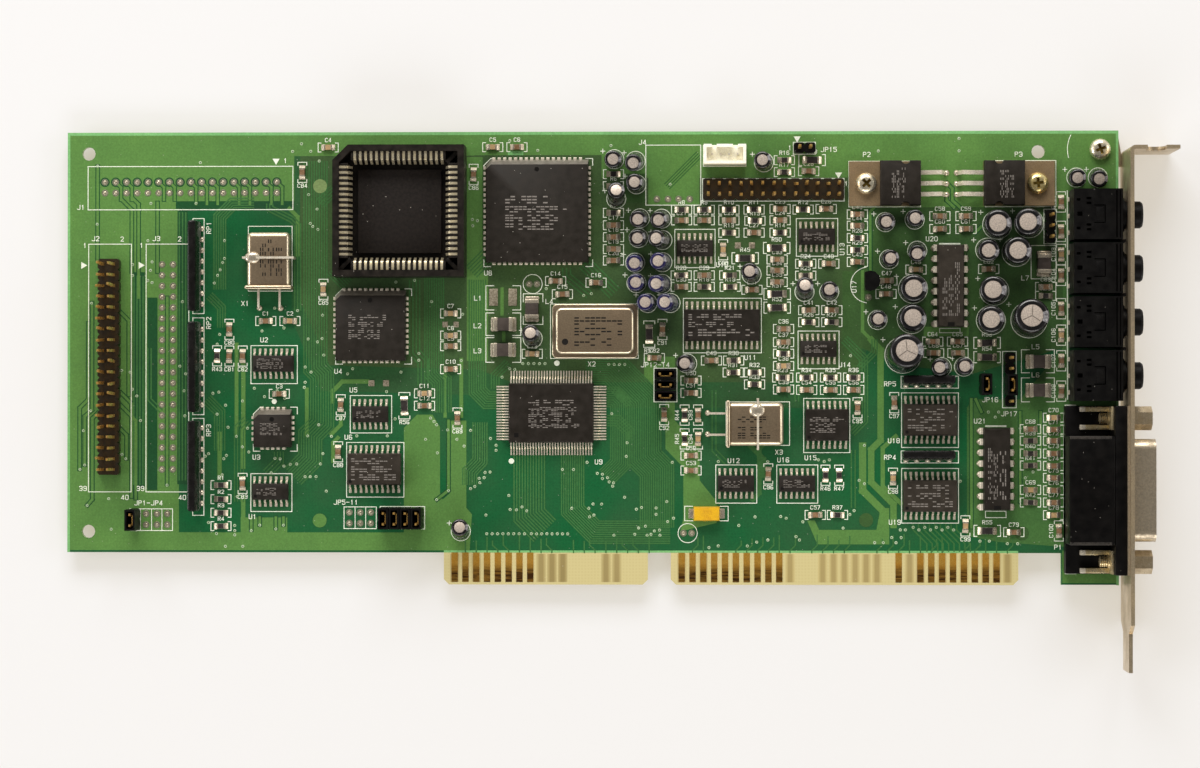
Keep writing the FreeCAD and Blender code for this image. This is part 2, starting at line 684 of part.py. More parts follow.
def audio_socket():
    """White four-way socket for the drive's audio lead, open at the top, with two key slots at its back."""
    u, v = at(154.9, 93.2)
    shell = block(u, v, 0, WHITE_SOCKET_LENGTH, WHITE_SOCKET_WIDTH, WHITE_SOCKET_HEIGHT)
    inner_length = WHITE_SOCKET_LENGTH - 2 * WHITE_SOCKET_WALL
    inner_width = WHITE_SOCKET_WIDTH - 2 * WHITE_SOCKET_WALL
    inner_height = WHITE_SOCKET_HEIGHT - WHITE_SOCKET_FLOOR
    cuts = [block(u, v, WHITE_SOCKET_FLOOR, inner_length, inner_width, inner_height)]
    for side in (-1, 1):
        slot_u = u + side * WHITE_SOCKET_LENGTH / 4
        slot_v = v + WHITE_SOCKET_WIDTH / 2
        slot_depth = 2 * WHITE_SOCKET_WALL
        cuts.append(block(slot_u, slot_v, WHITE_SOCKET_FLOOR, WHITE_SOCKET_SLOT, slot_depth, inner_height))
    save("audio_socket", [shell.cut(cuts)])
    pins = []
    for index in range(4):
        pin_u = u + (index - 1.5) * WHITE_PIN_PITCH
        pins.append(block(pin_u, v, WHITE_SOCKET_FLOOR, WIRE, WIRE, WHITE_PIN_HEIGHT))
    save("audio_socket_pins", pins)


def chip_socket():
    """Empty sixty-eight-way chip carrier socket, with one cut corner and a row of blades on each side."""
    u, v = at(78.85, 79.95)
    half = CARRIER_SIZE / 2
    outline = [
        (u - half, v - half, 0.0),
        (u + half, v - half, 0.0),
        (u + half, v + half, 0.0),
        (u - half + CARRIER_CORNER, v + half, 0.0),
        (u - half, v + half - CARRIER_CORNER, 0.0),
    ]
    inside = CARRIER_SIZE - 2 * CARRIER_WALL
    cut = inside / 2
    inner_corner = CARRIER_CORNER - CARRIER_WALL * (2 - math.sqrt(2))
    well = [
        (u - cut, v - cut, 0.0),
        (u + cut, v - cut, 0.0),
        (u + cut, v + cut, 0.0),
        (u - cut + inner_corner, v + cut, 0.0),
        (u - cut, v + cut - inner_corner, 0.0),
    ]
    body = prism(outline, SEAT_GAP, CARRIER_HEIGHT - SEAT_GAP)
    body = body.cut(prism(well, CARRIER_FLOOR, CARRIER_HEIGHT - CARRIER_FLOOR))
    save("chip_socket", [body])
    reach = cut - BLADE_LENGTH / 2
    height = CARRIER_HEIGHT - BLADE_TOP_DROP - CARRIER_FLOOR
    blades = []
    for index in range(17):
        offset = (index - 8) * BLADE_PITCH
        for side in (-1, 1):
            blades.append(
                block(u + offset, v + side * reach, CARRIER_FLOOR, BLADE_WIDTH, BLADE_LENGTH, height)
            )
            blades.append(
                block(u + side * reach, v + offset, CARRIER_FLOOR, BLADE_LENGTH, BLADE_WIDTH, height)
            )
    save("chip_socket_blades", blades)


def surface_chips():
    """Soldered chips: narrow and wide two-row bodies, square carriers and the fine-pitch flat pack."""
    narrow = ((48.1, 14.3), (71.6, 32.5), (147.9, 71.4), (157.5, 16.25))
    narrow += ((176.45, 74.1), (176.8, 47.8), (171.8, 16.25))
    bodies = []
    for place in narrow:
        u, v = at(*place)
        bodies.append(moulded_body(u, v, SEAT_GAP, LOGIC_BODY_LENGTH, SMALL_BODY_WIDTH, SMALL_BODY_HEIGHT))
    u, v = at(48.75, 44.4)
    long_body = moulded_body(u, v, SEAT_GAP, LONG_LOGIC_BODY_LENGTH, SMALL_BODY_WIDTH, SMALL_BODY_HEIGHT)
    bodies.append(long_body)
    save("logic_chips", bodies)
    buffers = []
    for place in ((72.6, 19.6), (202.9, 31.2), (202.9, 13.4)):
        u, v = at(*place)
        buffers.append(moulded_body(u, v, SEAT_GAP, BUFFER_BODY_LENGTH, WIDE_BODY_WIDTH, WIDE_BODY_HEIGHT))
    save("buffer_chips", buffers)
    u, v = at(154.25, 53.35)
    codec = moulded_body(u, v, SEAT_GAP, CODEC_BODY_LENGTH, WIDE_BODY_WIDTH, WIDE_BODY_HEIGHT)
    save("codec_chip", [codec])
    u, v = at(178.8, 30.0)
    converter = moulded_body(u, v, SEAT_GAP, CONVERTER_BODY_LENGTH, WIDE_BODY_WIDTH, WIDE_BODY_HEIGHT)
    save("converter_chip", [converter])
    u, v = at(114.2, 32.8)
    save("bus_chip", [moulded_body(u, v, SEAT_GAP, FLAT_PACK_LENGTH, FLAT_PACK_WIDTH, FLAT_PACK_HEIGHT)])
    carriers = (
        ("mixer_chip", (110.95, 80.1), CARRIER_68_BODY),
        ("controller_chip", (71.9, 53.3), CARRIER_44_BODY),
        ("decoder_chip", (48.85, 29.2), CARRIER_20_BODY),
    )
    for node, place, size in carriers:
        u, v = at(*place)
        save(node, [moulded_body(u, v, SEAT_GAP, size, size, CARRIER_BODY_HEIGHT)])


def two_row_chip(node, place):
    """A sixteen-lead two-row chip that stands on its leads. Returns the leads."""
    u, v = at(*place)
    save(node, [moulded_body(u, v, DIP_STANDOFF, DIP_WIDTH, DIP_LENGTH, DIP_HEIGHT)])
    shoulder = DIP_STANDOFF + DIP_HEIGHT / 2
    leads = []
    for side in (-1, 1):
        root = u + side * DIP_WIDTH / 2
        out = u + side * (DIP_ROW_SPACING + DIP_LEAD_SHEET) / 2
        inner = u + side * (DIP_ROW_SPACING - DIP_LEAD_SHEET) / 2
        profile = [
            (root, shoulder, 0.0),
            (out, shoulder, 0.0),
            (out, 0, 0.0),
            (inner, 0, 0.0),
            (inner, shoulder - DIP_LEAD_SHEET, 0.0),
            (root, shoulder - DIP_LEAD_SHEET, 0.0),
        ]
        for index in range(8):
            leads.append(along_u(profile, v + (index - 3.5) * PIN_PITCH, DIP_LEAD_WIDTH))
    return leads


def two_row_chips():
    leads = two_row_chip("amplifier_chip", (207.6, 62.5))
    leads += two_row_chip("timer_chip", (218.3, 19.7))
    save("two_row_chip_leads", leads)


def regulator(number, screw_place, direction):
    """A flat-mounted regulator: metal plate under the screw, moulded body on it. Returns its three leads."""
    screw_u, v = screw_place
    tip = screw_u - direction * REGULATOR_HOLE_SETBACK
    heel = tip + direction * REGULATOR_LENGTH
    plate = block((tip + heel) / 2, v, 0, REGULATOR_LENGTH, REGULATOR_WIDTH, TAB_PLATE)
    plate = plate.cut(faceted_rod(screw_u, v, 0, SCREW_HOLE, TAB_PLATE))
    save("regulator_plate_%d" % number, [plate])
    body_u = heel - direction * REGULATOR_BODY_LENGTH / 2
    thickness = REGULATOR_HEIGHT - TAB_PLATE
    body = frustum(body_u, v, TAB_PLATE, REGULATOR_BODY_LENGTH, REGULATOR_WIDTH, thickness, 0, BODY_DRAFT)
    save("regulator_body_%d" % number, [body])
    level = TAB_PLATE + REGULATOR_LEAD_RISE
    end = heel + direction * REGULATOR_LEAD_REACH
    bend = end - direction * REGULATOR_LEAD_DROP
    sheet = REGULATOR_LEAD_SHEET
    profile = [
        (heel, TAB_PLATE, 0.0),
        (heel + direction * sheet, TAB_PLATE, 0.0),
        (bend, level, 0.0),
        (end - direction * sheet, 0, 0.0),
        (end, 0, 0.0),
        (bend, level + sheet, 0.0),
        (heel, TAB_PLATE + sheet, 0.0),
    ]
    return [along_u(profile, v + side * PIN_PITCH, REGULATOR_LEAD_WIDTH) for side in (-1, 0, 1)]


def regulators():
    leads = regulator(1, SCREW_PLACES["left"], 1)
    leads += regulator(2, SCREW_PLACES["right"], -1)
    save("regulator_leads", leads)


def transistor():
    """Small moulded transistor on three leads, its flat side towards the left."""
    u, v = at(188.7, 63.6)
    radius = TRANSISTOR_WIDTH / 2
    body = faceted_rod(u, v, TRANSISTOR_STANDOFF, TRANSISTOR_WIDTH, TRANSISTOR_HEIGHT)
    flat_u = u - TRANSISTOR_FLAT - radius
    flat = block(flat_u, v, TRANSISTOR_STANDOFF, 2 * radius, TRANSISTOR_WIDTH, TRANSISTOR_HEIGHT)
    save("transistor", [body.cut(flat)])
    leads = [block(u, v + side * PIN_PITCH / 2, 0, WIRE, WIRE, TRANSISTOR_STANDOFF) for side in (-1, 0, 1)]
    save("transistor_leads", leads)


def can(base_u, base_v, lean_u, lean_v, diameter, height):
    """An upright can that stands on the board and leans by the given amounts at its top."""
    axis = FreeCAD.Vector(lean_u, lean_v, height).normalize()
    lift = math.hypot(axis.x, axis.y) * diameter / 2
    shape = faceted_rod(0, 0, 0, diameter, height)
    turn = FreeCAD.Rotation(FreeCAD.Vector(0, 0, 1), axis)
    shape.rotate(vec(0, 0), turn.Axis, math.degrees(turn.Angle))
    shape.translate(vec(base_u, base_v, lift))
    return shape


def cans(node, diameter, height, places):
    save(node, [can(*at(u, v), lean_u, lean_v, diameter, height) for u, v, lean_u, lean_v in places])


def electrolytic_capacitors():
    """Sleeved cans in four sizes; hand-fitted, so most lean a little on their leads."""
    cans("mixer_electrolytics", SMALL_CAN, SMALL_CAN_HEIGHT, (
        (129.0, 92.4, -0.2, -0.5),
        (134.0, 92.0, -0.5, -1.0),
        (129.45, 83.1, 0.15, 1.7),
        (134.2, 86.5, -0.4, 0.1),
        (135.0, 78.5, -0.4, -0.6),
        (140.1, 78.4, -0.7, -0.7),
        (134.7, 73.9, -0.2, -0.4),
        (140.3, 73.4, -1.5, 0.1),
    ))
    cans("blue_electrolytics", SMALL_CAN, SMALL_CAN_HEIGHT, (
        (133.9, 68.1, -0.1, -0.4),
        (140.3, 68.2, -1.0, 0.0),
        (134.2, 63.3, -0.1, -0.1),
        (140.2, 63.1, -1.4, -0.2),
        (136.8, 58.6, -0.5, 0.0),
        (142.2, 58.6, -1.4, 0.0),
    ))
    cans("supply_electrolytics", SMALL_CAN, SMALL_CAN_HEIGHT, (
        (164.1, 91.6, -0.5, 0.1),
        (161.2, 65.3, -0.6, 0.5),
        (173.6, 61.2, -0.1, 1.4),
        (179.4, 61.2, -0.2, 0.3),
        (146.1, 44.4, -0.6, 0.0),
        (92.9, 5.0, 0.2, 1.2),
        (109.8, 50.3, -0.25, 1.2),
    ))
    cans("output_electrolytics", SMALL_CAN, SMALL_CAN_HEIGHT, (
        (192.55, 77.55, -0.15, -0.3),
        (199.4, 78.1, -0.3, 0.0),
        (193.4, 68.8, 0.0, 0.0),
        (200.0, 70.8, -0.5, -1.0),
        (190.7, 54.6, -0.2, 0.05),
        (205.7, 43.5, -1.0, -0.1),
        (210.9, 43.65, -0.35, 0.0),
    ))
    near_bracket = BRACKET_U - JACK_CAN_SETBACK
    beside_jack = FIRST_JACK + JACK_WIDTH / 2 + JACK_CAN_GAP
    save("bracket_electrolytics", [
        can(near_bracket - JACK_CAN_PITCH, beside_jack, -0.5, -0.5, SMALL_CAN, SMALL_CAN_HEIGHT),
        can(near_bracket, beside_jack, -0.5, -0.8, SMALL_CAN, SMALL_CAN_HEIGHT),
    ])
    cans("short_electrolytic", SHORT_CAN, SHORT_CAN_HEIGHT, ((216.4, 71.0, -0.4, -0.5),))
    cans("medium_electrolytics", MEDIUM_CAN, MEDIUM_CAN_HEIGHT, (
        (199.0, 61.9, -0.4, -0.2),
        (198.7, 54.8, -0.3, 0.1),
        (218.7, 76.9, -0.65, -0.1),
        (226.1, 77.2, -1.1, -0.1),
        (223.2, 70.5, -0.5, 0.0),
        (218.0, 61.4, -1.1, 0.0),
        (217.2, 54.5, -0.75, 0.0),
    ))
    cans("large_electrolytics", LARGE_CAN, LARGE_CAN_HEIGHT, (
        (196.65, 46.35, 0.25, 0.9),
        (226.1, 54.6, -0.4, 0.7),
    ))


def chips_at(across, upright, length, width, height):
    pieces = []
    for place in across:
        u, v = at(*place)
        pieces.append(block(u, v, 0, length, width, height))
    for place in upright:
        u, v = at(*place)
        pieces.append(block(u, v, 0, width, length, height))
    return pieces


def moulded_passives():
    """Moulded inductors, the tantalum capacitor and the upright resistor networks."""
    across = [(103.0, 53.6), (102.9, 47.6), (228.2, 44.8), (228.2, 38.1)]
    upright = [(109.7, 57.2), (229.5, 67.7)]
    save("chip_inductors", chips_at(across, upright, INDUCTOR_LENGTH, INDUCTOR_WIDTH, INDUCTOR_HEIGHT))
    u, v = at(150.65, 9.2)
    save("tantalum_capacitor", [moulded_body(u, v, 0, TANTALUM_LENGTH, TANTALUM_WIDTH, TANTALUM_HEIGHT)])
    networks = []
    for place in column(31.0, (67.3, 43.6, 20.4)):
        u, v = at(*place)
        networks.append(block(u, v, SEAT_GAP, NETWORK_THICKNESS, NETWORK_LENGTH, NETWORK_HEIGHT))
    for place in column(202.4, (40.0, 22.5)):
        u, v = at(*place)
        networks.append(block(u, v, SEAT_GAP, SHORT_NETWORK_LENGTH, NETWORK_THICKNESS, NETWORK_HEIGHT))
    save("resistor_networks", networks)


def crystal_shape():
    """A flat-lying crystal at the origin: flanged can along +v, two formed leads towards -v."""
    flange_thickness = CRYSTAL_THICKNESS + 2 * CRYSTAL_FLANGE
    level = flange_thickness / 2
    can_section = rectangle(0, level, CRYSTAL_WIDTH, CRYSTAL_THICKNESS, CRYSTAL_ROUND)
    flange_width = CRYSTAL_WIDTH + 2 * CRYSTAL_FLANGE
    flange_section = rectangle(0, level, flange_width, flange_thickness, -CRYSTAL_ROUND / 2)
    body = prism(can_section, 0, CRYSTAL_LENGTH)
    body = body.fuse(prism(flange_section, 0, CRYSTAL_FLANGE * 2)).removeSplitter()
    body.rotate(vec(0, 0), FreeCAD.Vector(1, 0, 0), 90)
    body.rotate(vec(0, 0), FreeCAD.Vector(0, 0, 1), 180)
    profile = [
        (0, level - WIRE / 2, 0.0),
        (-CRYSTAL_LEAD_REACH + WIRE, level - WIRE / 2, 0.0),
        (-CRYSTAL_LEAD_REACH + WIRE, 0, 0.0),
        (-CRYSTAL_LEAD_REACH, 0, 0.0),
        (-CRYSTAL_LEAD_REACH, level + WIRE / 2, 0.0),
        (0, level + WIRE / 2, 0.0),
    ]
    leads = [along_v(profile, side * CRYSTAL_LEAD_SPACING / 2, WIRE) for side in (-1, 1)]
    top = level + CRYSTAL_THICKNESS / 2
    half = flange_width / 2
    strap_profile = [
        (-half - WIRE, 0, 0.0),
        (-half, 0, 0.0),
        (-half, top, 0.0),
        (half, top, 0.0),
        (half, 0, 0.0),
        (half + WIRE, 0, 0.0),
        (half + WIRE, top + WIRE, 0.0),
        (-half - WIRE, top + WIRE, 0.0),
    ]
    strap = along_u(strap_profile, CRYSTAL_STRAP_SETBACK, WIRE)
    return body, leads + [strap]


def crystals():
    """Two flat-lying crystals, each held down by a wire strap, and the square oscillator can."""
    wires = []
    for number, (grid_u, grid_v, turn) in enumerate(((47.95, 61.8, 0), (155.2, 30.2, -90)), 1):
        u, v = at(grid_u, grid_v)
        body, fitted = crystal_shape()
        for shape in [body] + fitted:
            shape.rotate(vec(0, 0), FreeCAD.Vector(0, 0, 1), turn)
            shape.translate(vec(u, v))
        save("crystal_%d" % number, [body])
        wires += fitted
    save("crystal_wires", wires)
    u, v = at(124.5, 52.0)
    flange_corners = rectangle(u, v, OSCILLATOR_LENGTH, OSCILLATOR_WIDTH, -OSCILLATOR_CORNER / 2)
    flange = prism(flange_corners, 0, OSCILLATOR_FLANGE)
    lid_length = OSCILLATOR_LENGTH - 2 * OSCILLATOR_FLANGE
    lid_width = OSCILLATOR_WIDTH - 2 * OSCILLATOR_FLANGE
    lid = prism(rectangle(u, v, lid_length, lid_width, OSCILLATOR_CORNER), 0, OSCILLATOR_HEIGHT)
    save("oscillator_can", [flange.fuse(lid).removeSplitter()])


os.makedirs("parts", exist_ok=True)
circuit_board()
edge_contacts()
mounting_bracket()
screws()
regulator_nuts()
audio_jacks()
game_port()
headers()
jumpers()
audio_socket()
chip_socket()
surface_chips()
two_row_chips()
regulators()
transistor()
electrolytic_capacitors()
moulded_passives()
crystals()
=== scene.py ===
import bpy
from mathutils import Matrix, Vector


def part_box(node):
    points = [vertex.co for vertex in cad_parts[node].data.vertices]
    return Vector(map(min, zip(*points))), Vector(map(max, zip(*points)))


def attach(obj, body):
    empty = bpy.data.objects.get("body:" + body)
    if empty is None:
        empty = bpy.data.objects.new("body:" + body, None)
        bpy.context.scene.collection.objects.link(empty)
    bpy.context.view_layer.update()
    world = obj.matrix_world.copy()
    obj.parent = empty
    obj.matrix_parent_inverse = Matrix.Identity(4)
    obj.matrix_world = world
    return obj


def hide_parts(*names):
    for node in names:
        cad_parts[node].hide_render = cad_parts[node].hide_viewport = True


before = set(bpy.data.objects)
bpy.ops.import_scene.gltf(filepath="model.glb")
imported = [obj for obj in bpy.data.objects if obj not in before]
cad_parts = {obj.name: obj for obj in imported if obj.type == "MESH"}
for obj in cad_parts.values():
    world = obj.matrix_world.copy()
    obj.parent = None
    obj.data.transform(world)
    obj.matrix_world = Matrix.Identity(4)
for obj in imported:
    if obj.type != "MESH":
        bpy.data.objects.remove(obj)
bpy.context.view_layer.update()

import math
import random

import bmesh
import bpy
from mathutils import Matrix, Vector

# Board: woven glass cloth set in resin, pressed to 1.6 mm and covered with a green solder mask.
# The contact tongue has no mask, so the cream cloth shows there, and the sawn edges show the resin.
# Places are in millimetres: u right from the left edge, v up from the tongue's base, z up from the face.
MM = 0.001
TONGUE_TO_FAR_EDGE = 98.9
TONGUE_LEFT, TONGUE_RIGHT, TONGUE_REACH = 80.0, 227.0, 20.0
GRAIN_DEPTH = 0.03
board_low, board_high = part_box("circuit_board")
LEFT = board_low.x
BASE = board_high.y - TONGUE_TO_FAR_EDGE * MM
FACE = board_high.z
UNDER = (board_low.z - board_high.z) / MM
random.seed(29)


def at(u, v, z=0.0):
    return Vector((LEFT + u * MM, BASE + v * MM, FACE + z * MM))


def colour(red, green, blue):
    """A colour as it looks on screen, in the linear values that shaders use."""
    return (*[((part / 255 + 0.055) / 1.055) ** 2.4 for part in (red, green, blue)], 1.0)


def new_node(tree, kind, settings=None, **links):
    """Adds a node; settings go to its properties, links feed its inputs with a socket or a value."""
    node = tree.nodes.new("ShaderNode" + kind)
    for name, value in (settings or {}).items():
        setattr(node, name, value)
    for name, value in links.items():
        socket = node.inputs[int(name[1:])] if name[1:].isdigit() else node.inputs[name.replace("_", " ")]
        if isinstance(value, bpy.types.NodeSocket):
            tree.links.new(value, socket)
        else:
            socket.default_value = value
    return node


def maths(tree, operation, *values):
    """A sum on sockets or values."""
    links = {"i%d" % number: value for number, value in enumerate(values)}
    return new_node(tree, "Math", {"operation": operation}, **links).outputs[0]


def blended(tree, share, first, second):
    """A mix of two colours."""
    return new_node(tree, "Mix", {"data_type": "RGBA"}, i0=share, i6=first, i7=second).outputs[2]


def place_in(tree):
    """Where a point lies, in the card's own frame."""
    return new_node(tree, "TexCoord").outputs["Object"]


def new_group(name, inputs, outputs):
    """An empty node group. Returns it with the sockets of its two ends."""
    group = bpy.data.node_groups.new(name, "ShaderNodeTree")
    for side, sockets in (("INPUT", inputs), ("OUTPUT", outputs)):
        for socket, kind in sockets:
            group.interface.new_socket(socket, in_out=side, socket_type="NodeSocket" + kind)
    return group, group.nodes.new("NodeGroupInput").outputs, group.nodes.new("NodeGroupOutput").inputs


grain_tree, grain_in, grain_out = new_group(
    "surface_grain",
    (("Colour", "Color"), ("Tint", "Color"), ("Patch Scale", "Float"), ("Grain Scale", "Float"),
     ("Roughness", "Float"), ("Spread", "Float"), ("Dust", "Float")),
    (("Colour", "Color"), ("Roughness", "Float"), ("Height", "Float")),
)
grain_place = place_in(grain_tree)
patches, specks = [
    new_node(grain_tree, "TexNoise", Vector=grain_place, Scale=grain_in[scale], Detail=detail).outputs["Fac"]
    for scale, detail in (("Patch Scale", 4.0), ("Grain Scale", 2.0))
]
tinted = new_node(grain_tree, "MapRange", i0=patches, i1=0.35, i2=0.65).outputs[0]
light = new_node(grain_tree, "MapRange", i0=specks, i1=0.3, i2=0.7, i3=0.86, i4=1.14).outputs[0]
patched = blended(grain_tree, tinted, grain_in["Colour"], grain_in["Tint"])
toned = new_node(grain_tree, "HueSaturation", Value=light, Color=patched).outputs[0]
uneven = maths(grain_tree, "SUBTRACT", patches, 0.5)
gloss = maths(grain_tree, "MULTIPLY_ADD", uneven, grain_in["Spread"], grain_in["Roughness"])
cells = new_node(grain_tree, "TexVoronoi", Vector=grain_place, Scale=700.0).outputs
chance = new_node(grain_tree, "SeparateColor", i0=cells["Color"]).outputs[0]
near = maths(grain_tree, "LESS_THAN", cells["Distance"], 0.065)
rare = maths(grain_tree, "LESS_THAN", chance, 0.45)
lying_dust = maths(grain_tree, "MULTIPLY", maths(grain_tree, "MULTIPLY", near, rare), grain_in["Dust"])
dusty = blended(grain_tree, lying_dust, toned, colour(214, 208, 196))
for result, socket in ((dusty, "Colour"), (gloss, "Roughness"), (specks, "Height")):
    grain_tree.links.new(result, grain_out[socket])


def finish(
    name, base, tint, rough, metal=0.0, patch=300.0, grain=4000.0, spread=0.4, bump=0.15,
    coat=0.0, shine=0.5, dust=0.0,
):
    """A material with patches of tint, a fine grain, uneven gloss and specks of dust."""
    material = bpy.data.materials.new(name)
    material.use_nodes = True
    tree = material.node_tree
    shader = tree.nodes["Principled BSDF"].inputs
    shader["Metallic"].default_value = metal
    shader["Coat Weight"].default_value = coat
    shader["Specular IOR Level"].default_value = shine
    shader["Coat Roughness"].default_value = 0.12
    surface = tree.nodes.new("ShaderNodeGroup")
    surface.node_tree = grain_tree
    values = (colour(*base), colour(*tint), patch, grain, rough, spread, dust)
    for socket, value in zip(surface.inputs, values):
        socket.default_value = value
    height = surface.outputs["Height"]
    relief = new_node(tree, "Bump", Strength=bump, Distance=GRAIN_DEPTH * MM, Height=height)
    tree.links.new(surface.outputs["Colour"], shader["Base Color"])
    tree.links.new(surface.outputs["Roughness"], shader["Roughness"])
    tree.links.new(relief.outputs[0], shader["Normal"])
    return material


def overlay(material, mask, laid_over):
    """Lays one more colour over a material where the mask is set."""
    tree = material.node_tree
    target = tree.nodes["Principled BSDF"].inputs["Base Color"]
    tree.links.new(blended(tree, mask, target.links[0].from_socket, laid_over), target)


def band(tree, axis, low, high):
    """A mask that is set where the x, y or z of a point lies between two values."""
    place = new_node(tree, "SeparateXYZ", i0=place_in(tree)).outputs[axis]
    return maths(tree, "COMPARE", place, (low + high) / 2, (high - low) / 2)


def dress(node, material):
    """Gives a piece of the frame its finish."""
    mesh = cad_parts[node].data
    mesh.materials.clear()
    mesh.materials.append(material)


cloth_tree, cloth_in, cloth_out = new_group("glass_cloth", (("Share", "Float"),), (("Threads", "Float"),))
cloth_place = place_in(cloth_tree)
warp, weft = [
    new_node(
        cloth_tree, "TexWave", {"bands_direction": way}, Vector=cloth_place, Scale=420.0, Distortion=0.6
    ).outputs["Fac"]
    for way in "XY"
]
crossing = maths(cloth_tree, "MAXIMUM", warp, weft)
cloth_tree.links.new(maths(cloth_tree, "MULTIPLY", crossing, cloth_in["Share"]), cloth_out["Threads"])


def threads_in(material, share):
    """The crossing threads of the glass cloth, as a mask of the given strength."""
    cloth = material.node_tree.nodes.new("ShaderNodeGroup")
    cloth.node_tree = cloth_tree
    cloth.inputs["Share"].default_value = share
    return cloth.outputs["Threads"]


laminate = finish(
    "laminate", (10, 86, 45), (32, 80, 43), 0.45, patch=60.0, grain=2600.0, bump=0.1,
    coat=0.06, shine=0.3, dust=0.4,
)
laminate_tree = laminate.node_tree
tongue = maths(
    laminate_tree, "MULTIPLY",
    band(laminate_tree, 1, BASE - TONGUE_REACH * MM, BASE),
    band(laminate_tree, 0, LEFT + TONGUE_LEFT * MM, LEFT + TONGUE_RIGHT * MM),
)
overlay(laminate, threads_in(laminate, 0.25), colour(30, 92, 50))
cream = blended(laminate_tree, threads_in(laminate, 1.0), colour(191, 177, 125), colour(196, 184, 132))
overlay(laminate, tongue, cream)
facing = new_node(laminate_tree, "NewGeometry").outputs["True Normal"]
upward = new_node(laminate_tree, "SeparateXYZ", i0=facing).outputs[2]
sawn = maths(laminate_tree, "LESS_THAN", maths(laminate_tree, "ABSOLUTE", upward), 0.5)
overlay(laminate, sawn, colour(148, 176, 112))
dress("circuit_board", laminate)

# Edge contacts: copper films plated with nickel and gold, darker and browner over the lower two thirds, with
# streaks along the row. The under side has its own row, at other places along the tongue.
PITCH = 2.54
LAST_CONTACT = 221.0
CONTACT_FILM = 0.06
BROWN_BELOW, GOLD_ABOVE = -4.6, -2.4
contact_gold = finish("contact_gold", (214, 165, 72), (192, 140, 50), 0.42, 0.75, 700.0, 5000.0)
gold_tree = contact_gold.node_tree
gold_place = place_in(gold_tree)
drawn_out = new_node(gold_tree, "Mapping", Scale=(0.1, 1.0, 1.0), Vector=gold_place).outputs[0]
streak_noise = new_node(gold_tree, "TexNoise", Vector=drawn_out, Scale=2600.0, Detail=3.0).outputs["Fac"]
streaks = new_node(gold_tree, "MapRange", i0=streak_noise, i1=0.3, i2=0.62, i3=0.45, i4=1.0).outputs[0]
down = new_node(gold_tree, "SeparateXYZ", i0=gold_place).outputs[1]
fade = new_node(
    gold_tree, "MapRange", i0=down, i1=BASE + BROWN_BELOW * MM, i2=BASE + GOLD_ABOVE * MM, i3=1.0, i4=0.0
).outputs[0]
# Darker brown towards the bottom of each contact, in streaks along the row.
overlay(contact_gold, maths(gold_tree, "MULTIPLY", fade, streaks), colour(72, 44, 12))
dress("edge_contacts", contact_gold)


def standing(u, v, z=0.0, turn=0.0):
    return Matrix.Translation(at(u, v, z)) @ Matrix.Rotation(turn, 4, "Z")


def solid_of(made):
    """The faces and edges that belong to the corners an operator has just made."""
    faces = list({face for vert in made for face in vert.link_faces})
    edges = list({edge for vert in made for edge in vert.link_edges})
    return faces, edges


def paint(faces, material):
    for face in faces:
        face.material_index = material


def round_edges(bm, edges, offset, segments=1):
    bmesh.ops.bevel(
        bm, geom=edges, offset=offset * MM, segments=segments, profile=0.5, affect="EDGES", material=-1
    )


def cube(bm, du, dv, dz, matrix, material=0, bevel=0.0, segments=1):
    """A box of the given sides, centred where the matrix puts it. Returns the corners it starts with."""
    sides = Matrix.Diagonal((du * MM, dv * MM, dz * MM, 1.0))
    made = bmesh.ops.create_cube(bm, size=1.0, matrix=matrix @ sides)["verts"]
    faces, edges = solid_of(made)
    paint(faces, material)
    if bevel:
        round_edges(bm, edges, bevel, segments)
    return made


def block(bm, u, v, z, du, dv, dz, bevel=0.0, material=0, turn=0.0, segments=2):
    """A box centred at (u, v) that stands on z, turned about its own upright axis."""
    cube(bm, du, dv, dz, standing(u, v, z + dz / 2, turn), material, bevel, segments)


def add_piece(name, bm, materials, slot, *nodes):
    """Turns the mesh into a piece of the card that takes the place of the named nodes."""
    bmesh.ops.recalc_face_normals(bm, faces=bm.faces)
    mesh = bpy.data.meshes.new(name)
    bm.to_mesh(mesh)
    bm.free()
    for material in materials:
        mesh.materials.append(material)
    mesh.polygons.foreach_set("use_smooth", [True] * len(mesh.polygons))
    mesh.set_sharp_from_angle(angle=math.radians(38))
    piece = bpy.data.objects.new(name, mesh)
    bpy.context.scene.collection.objects.link(piece)
    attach(piece, "root")
    if nodes:
        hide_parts(*nodes)


under_steps = (0, 1, 2, 4, 6, 8, 9, *range(12, 18), 20, 28, 30, 36, 37, 41, 42, 43, 49, 51)
under_places = [LAST_CONTACT - step * PITCH for step in under_steps]
under_contacts = bmesh.new()
for u in under_places:
    block(under_contacts, u, -3.45, UNDER - CONTACT_FILM, 1.5, 6.9, CONTACT_FILM)
add_piece("under_contacts", under_contacts, [contact_gold], "contact_gold")

# Mounting bracket: one strip of steel, punched for the jacks and the port, folded at its foot and its tab,
# and then plated. One screw through the tab holds it to the board.
bracket_steel = finish(
    "bracket_steel", (206, 188, 158), (180, 162, 132), 0.38, 0.85, 120.0, 3000.0, 0.5, 0.1
)
dress("mounting_bracket", bracket_steel)

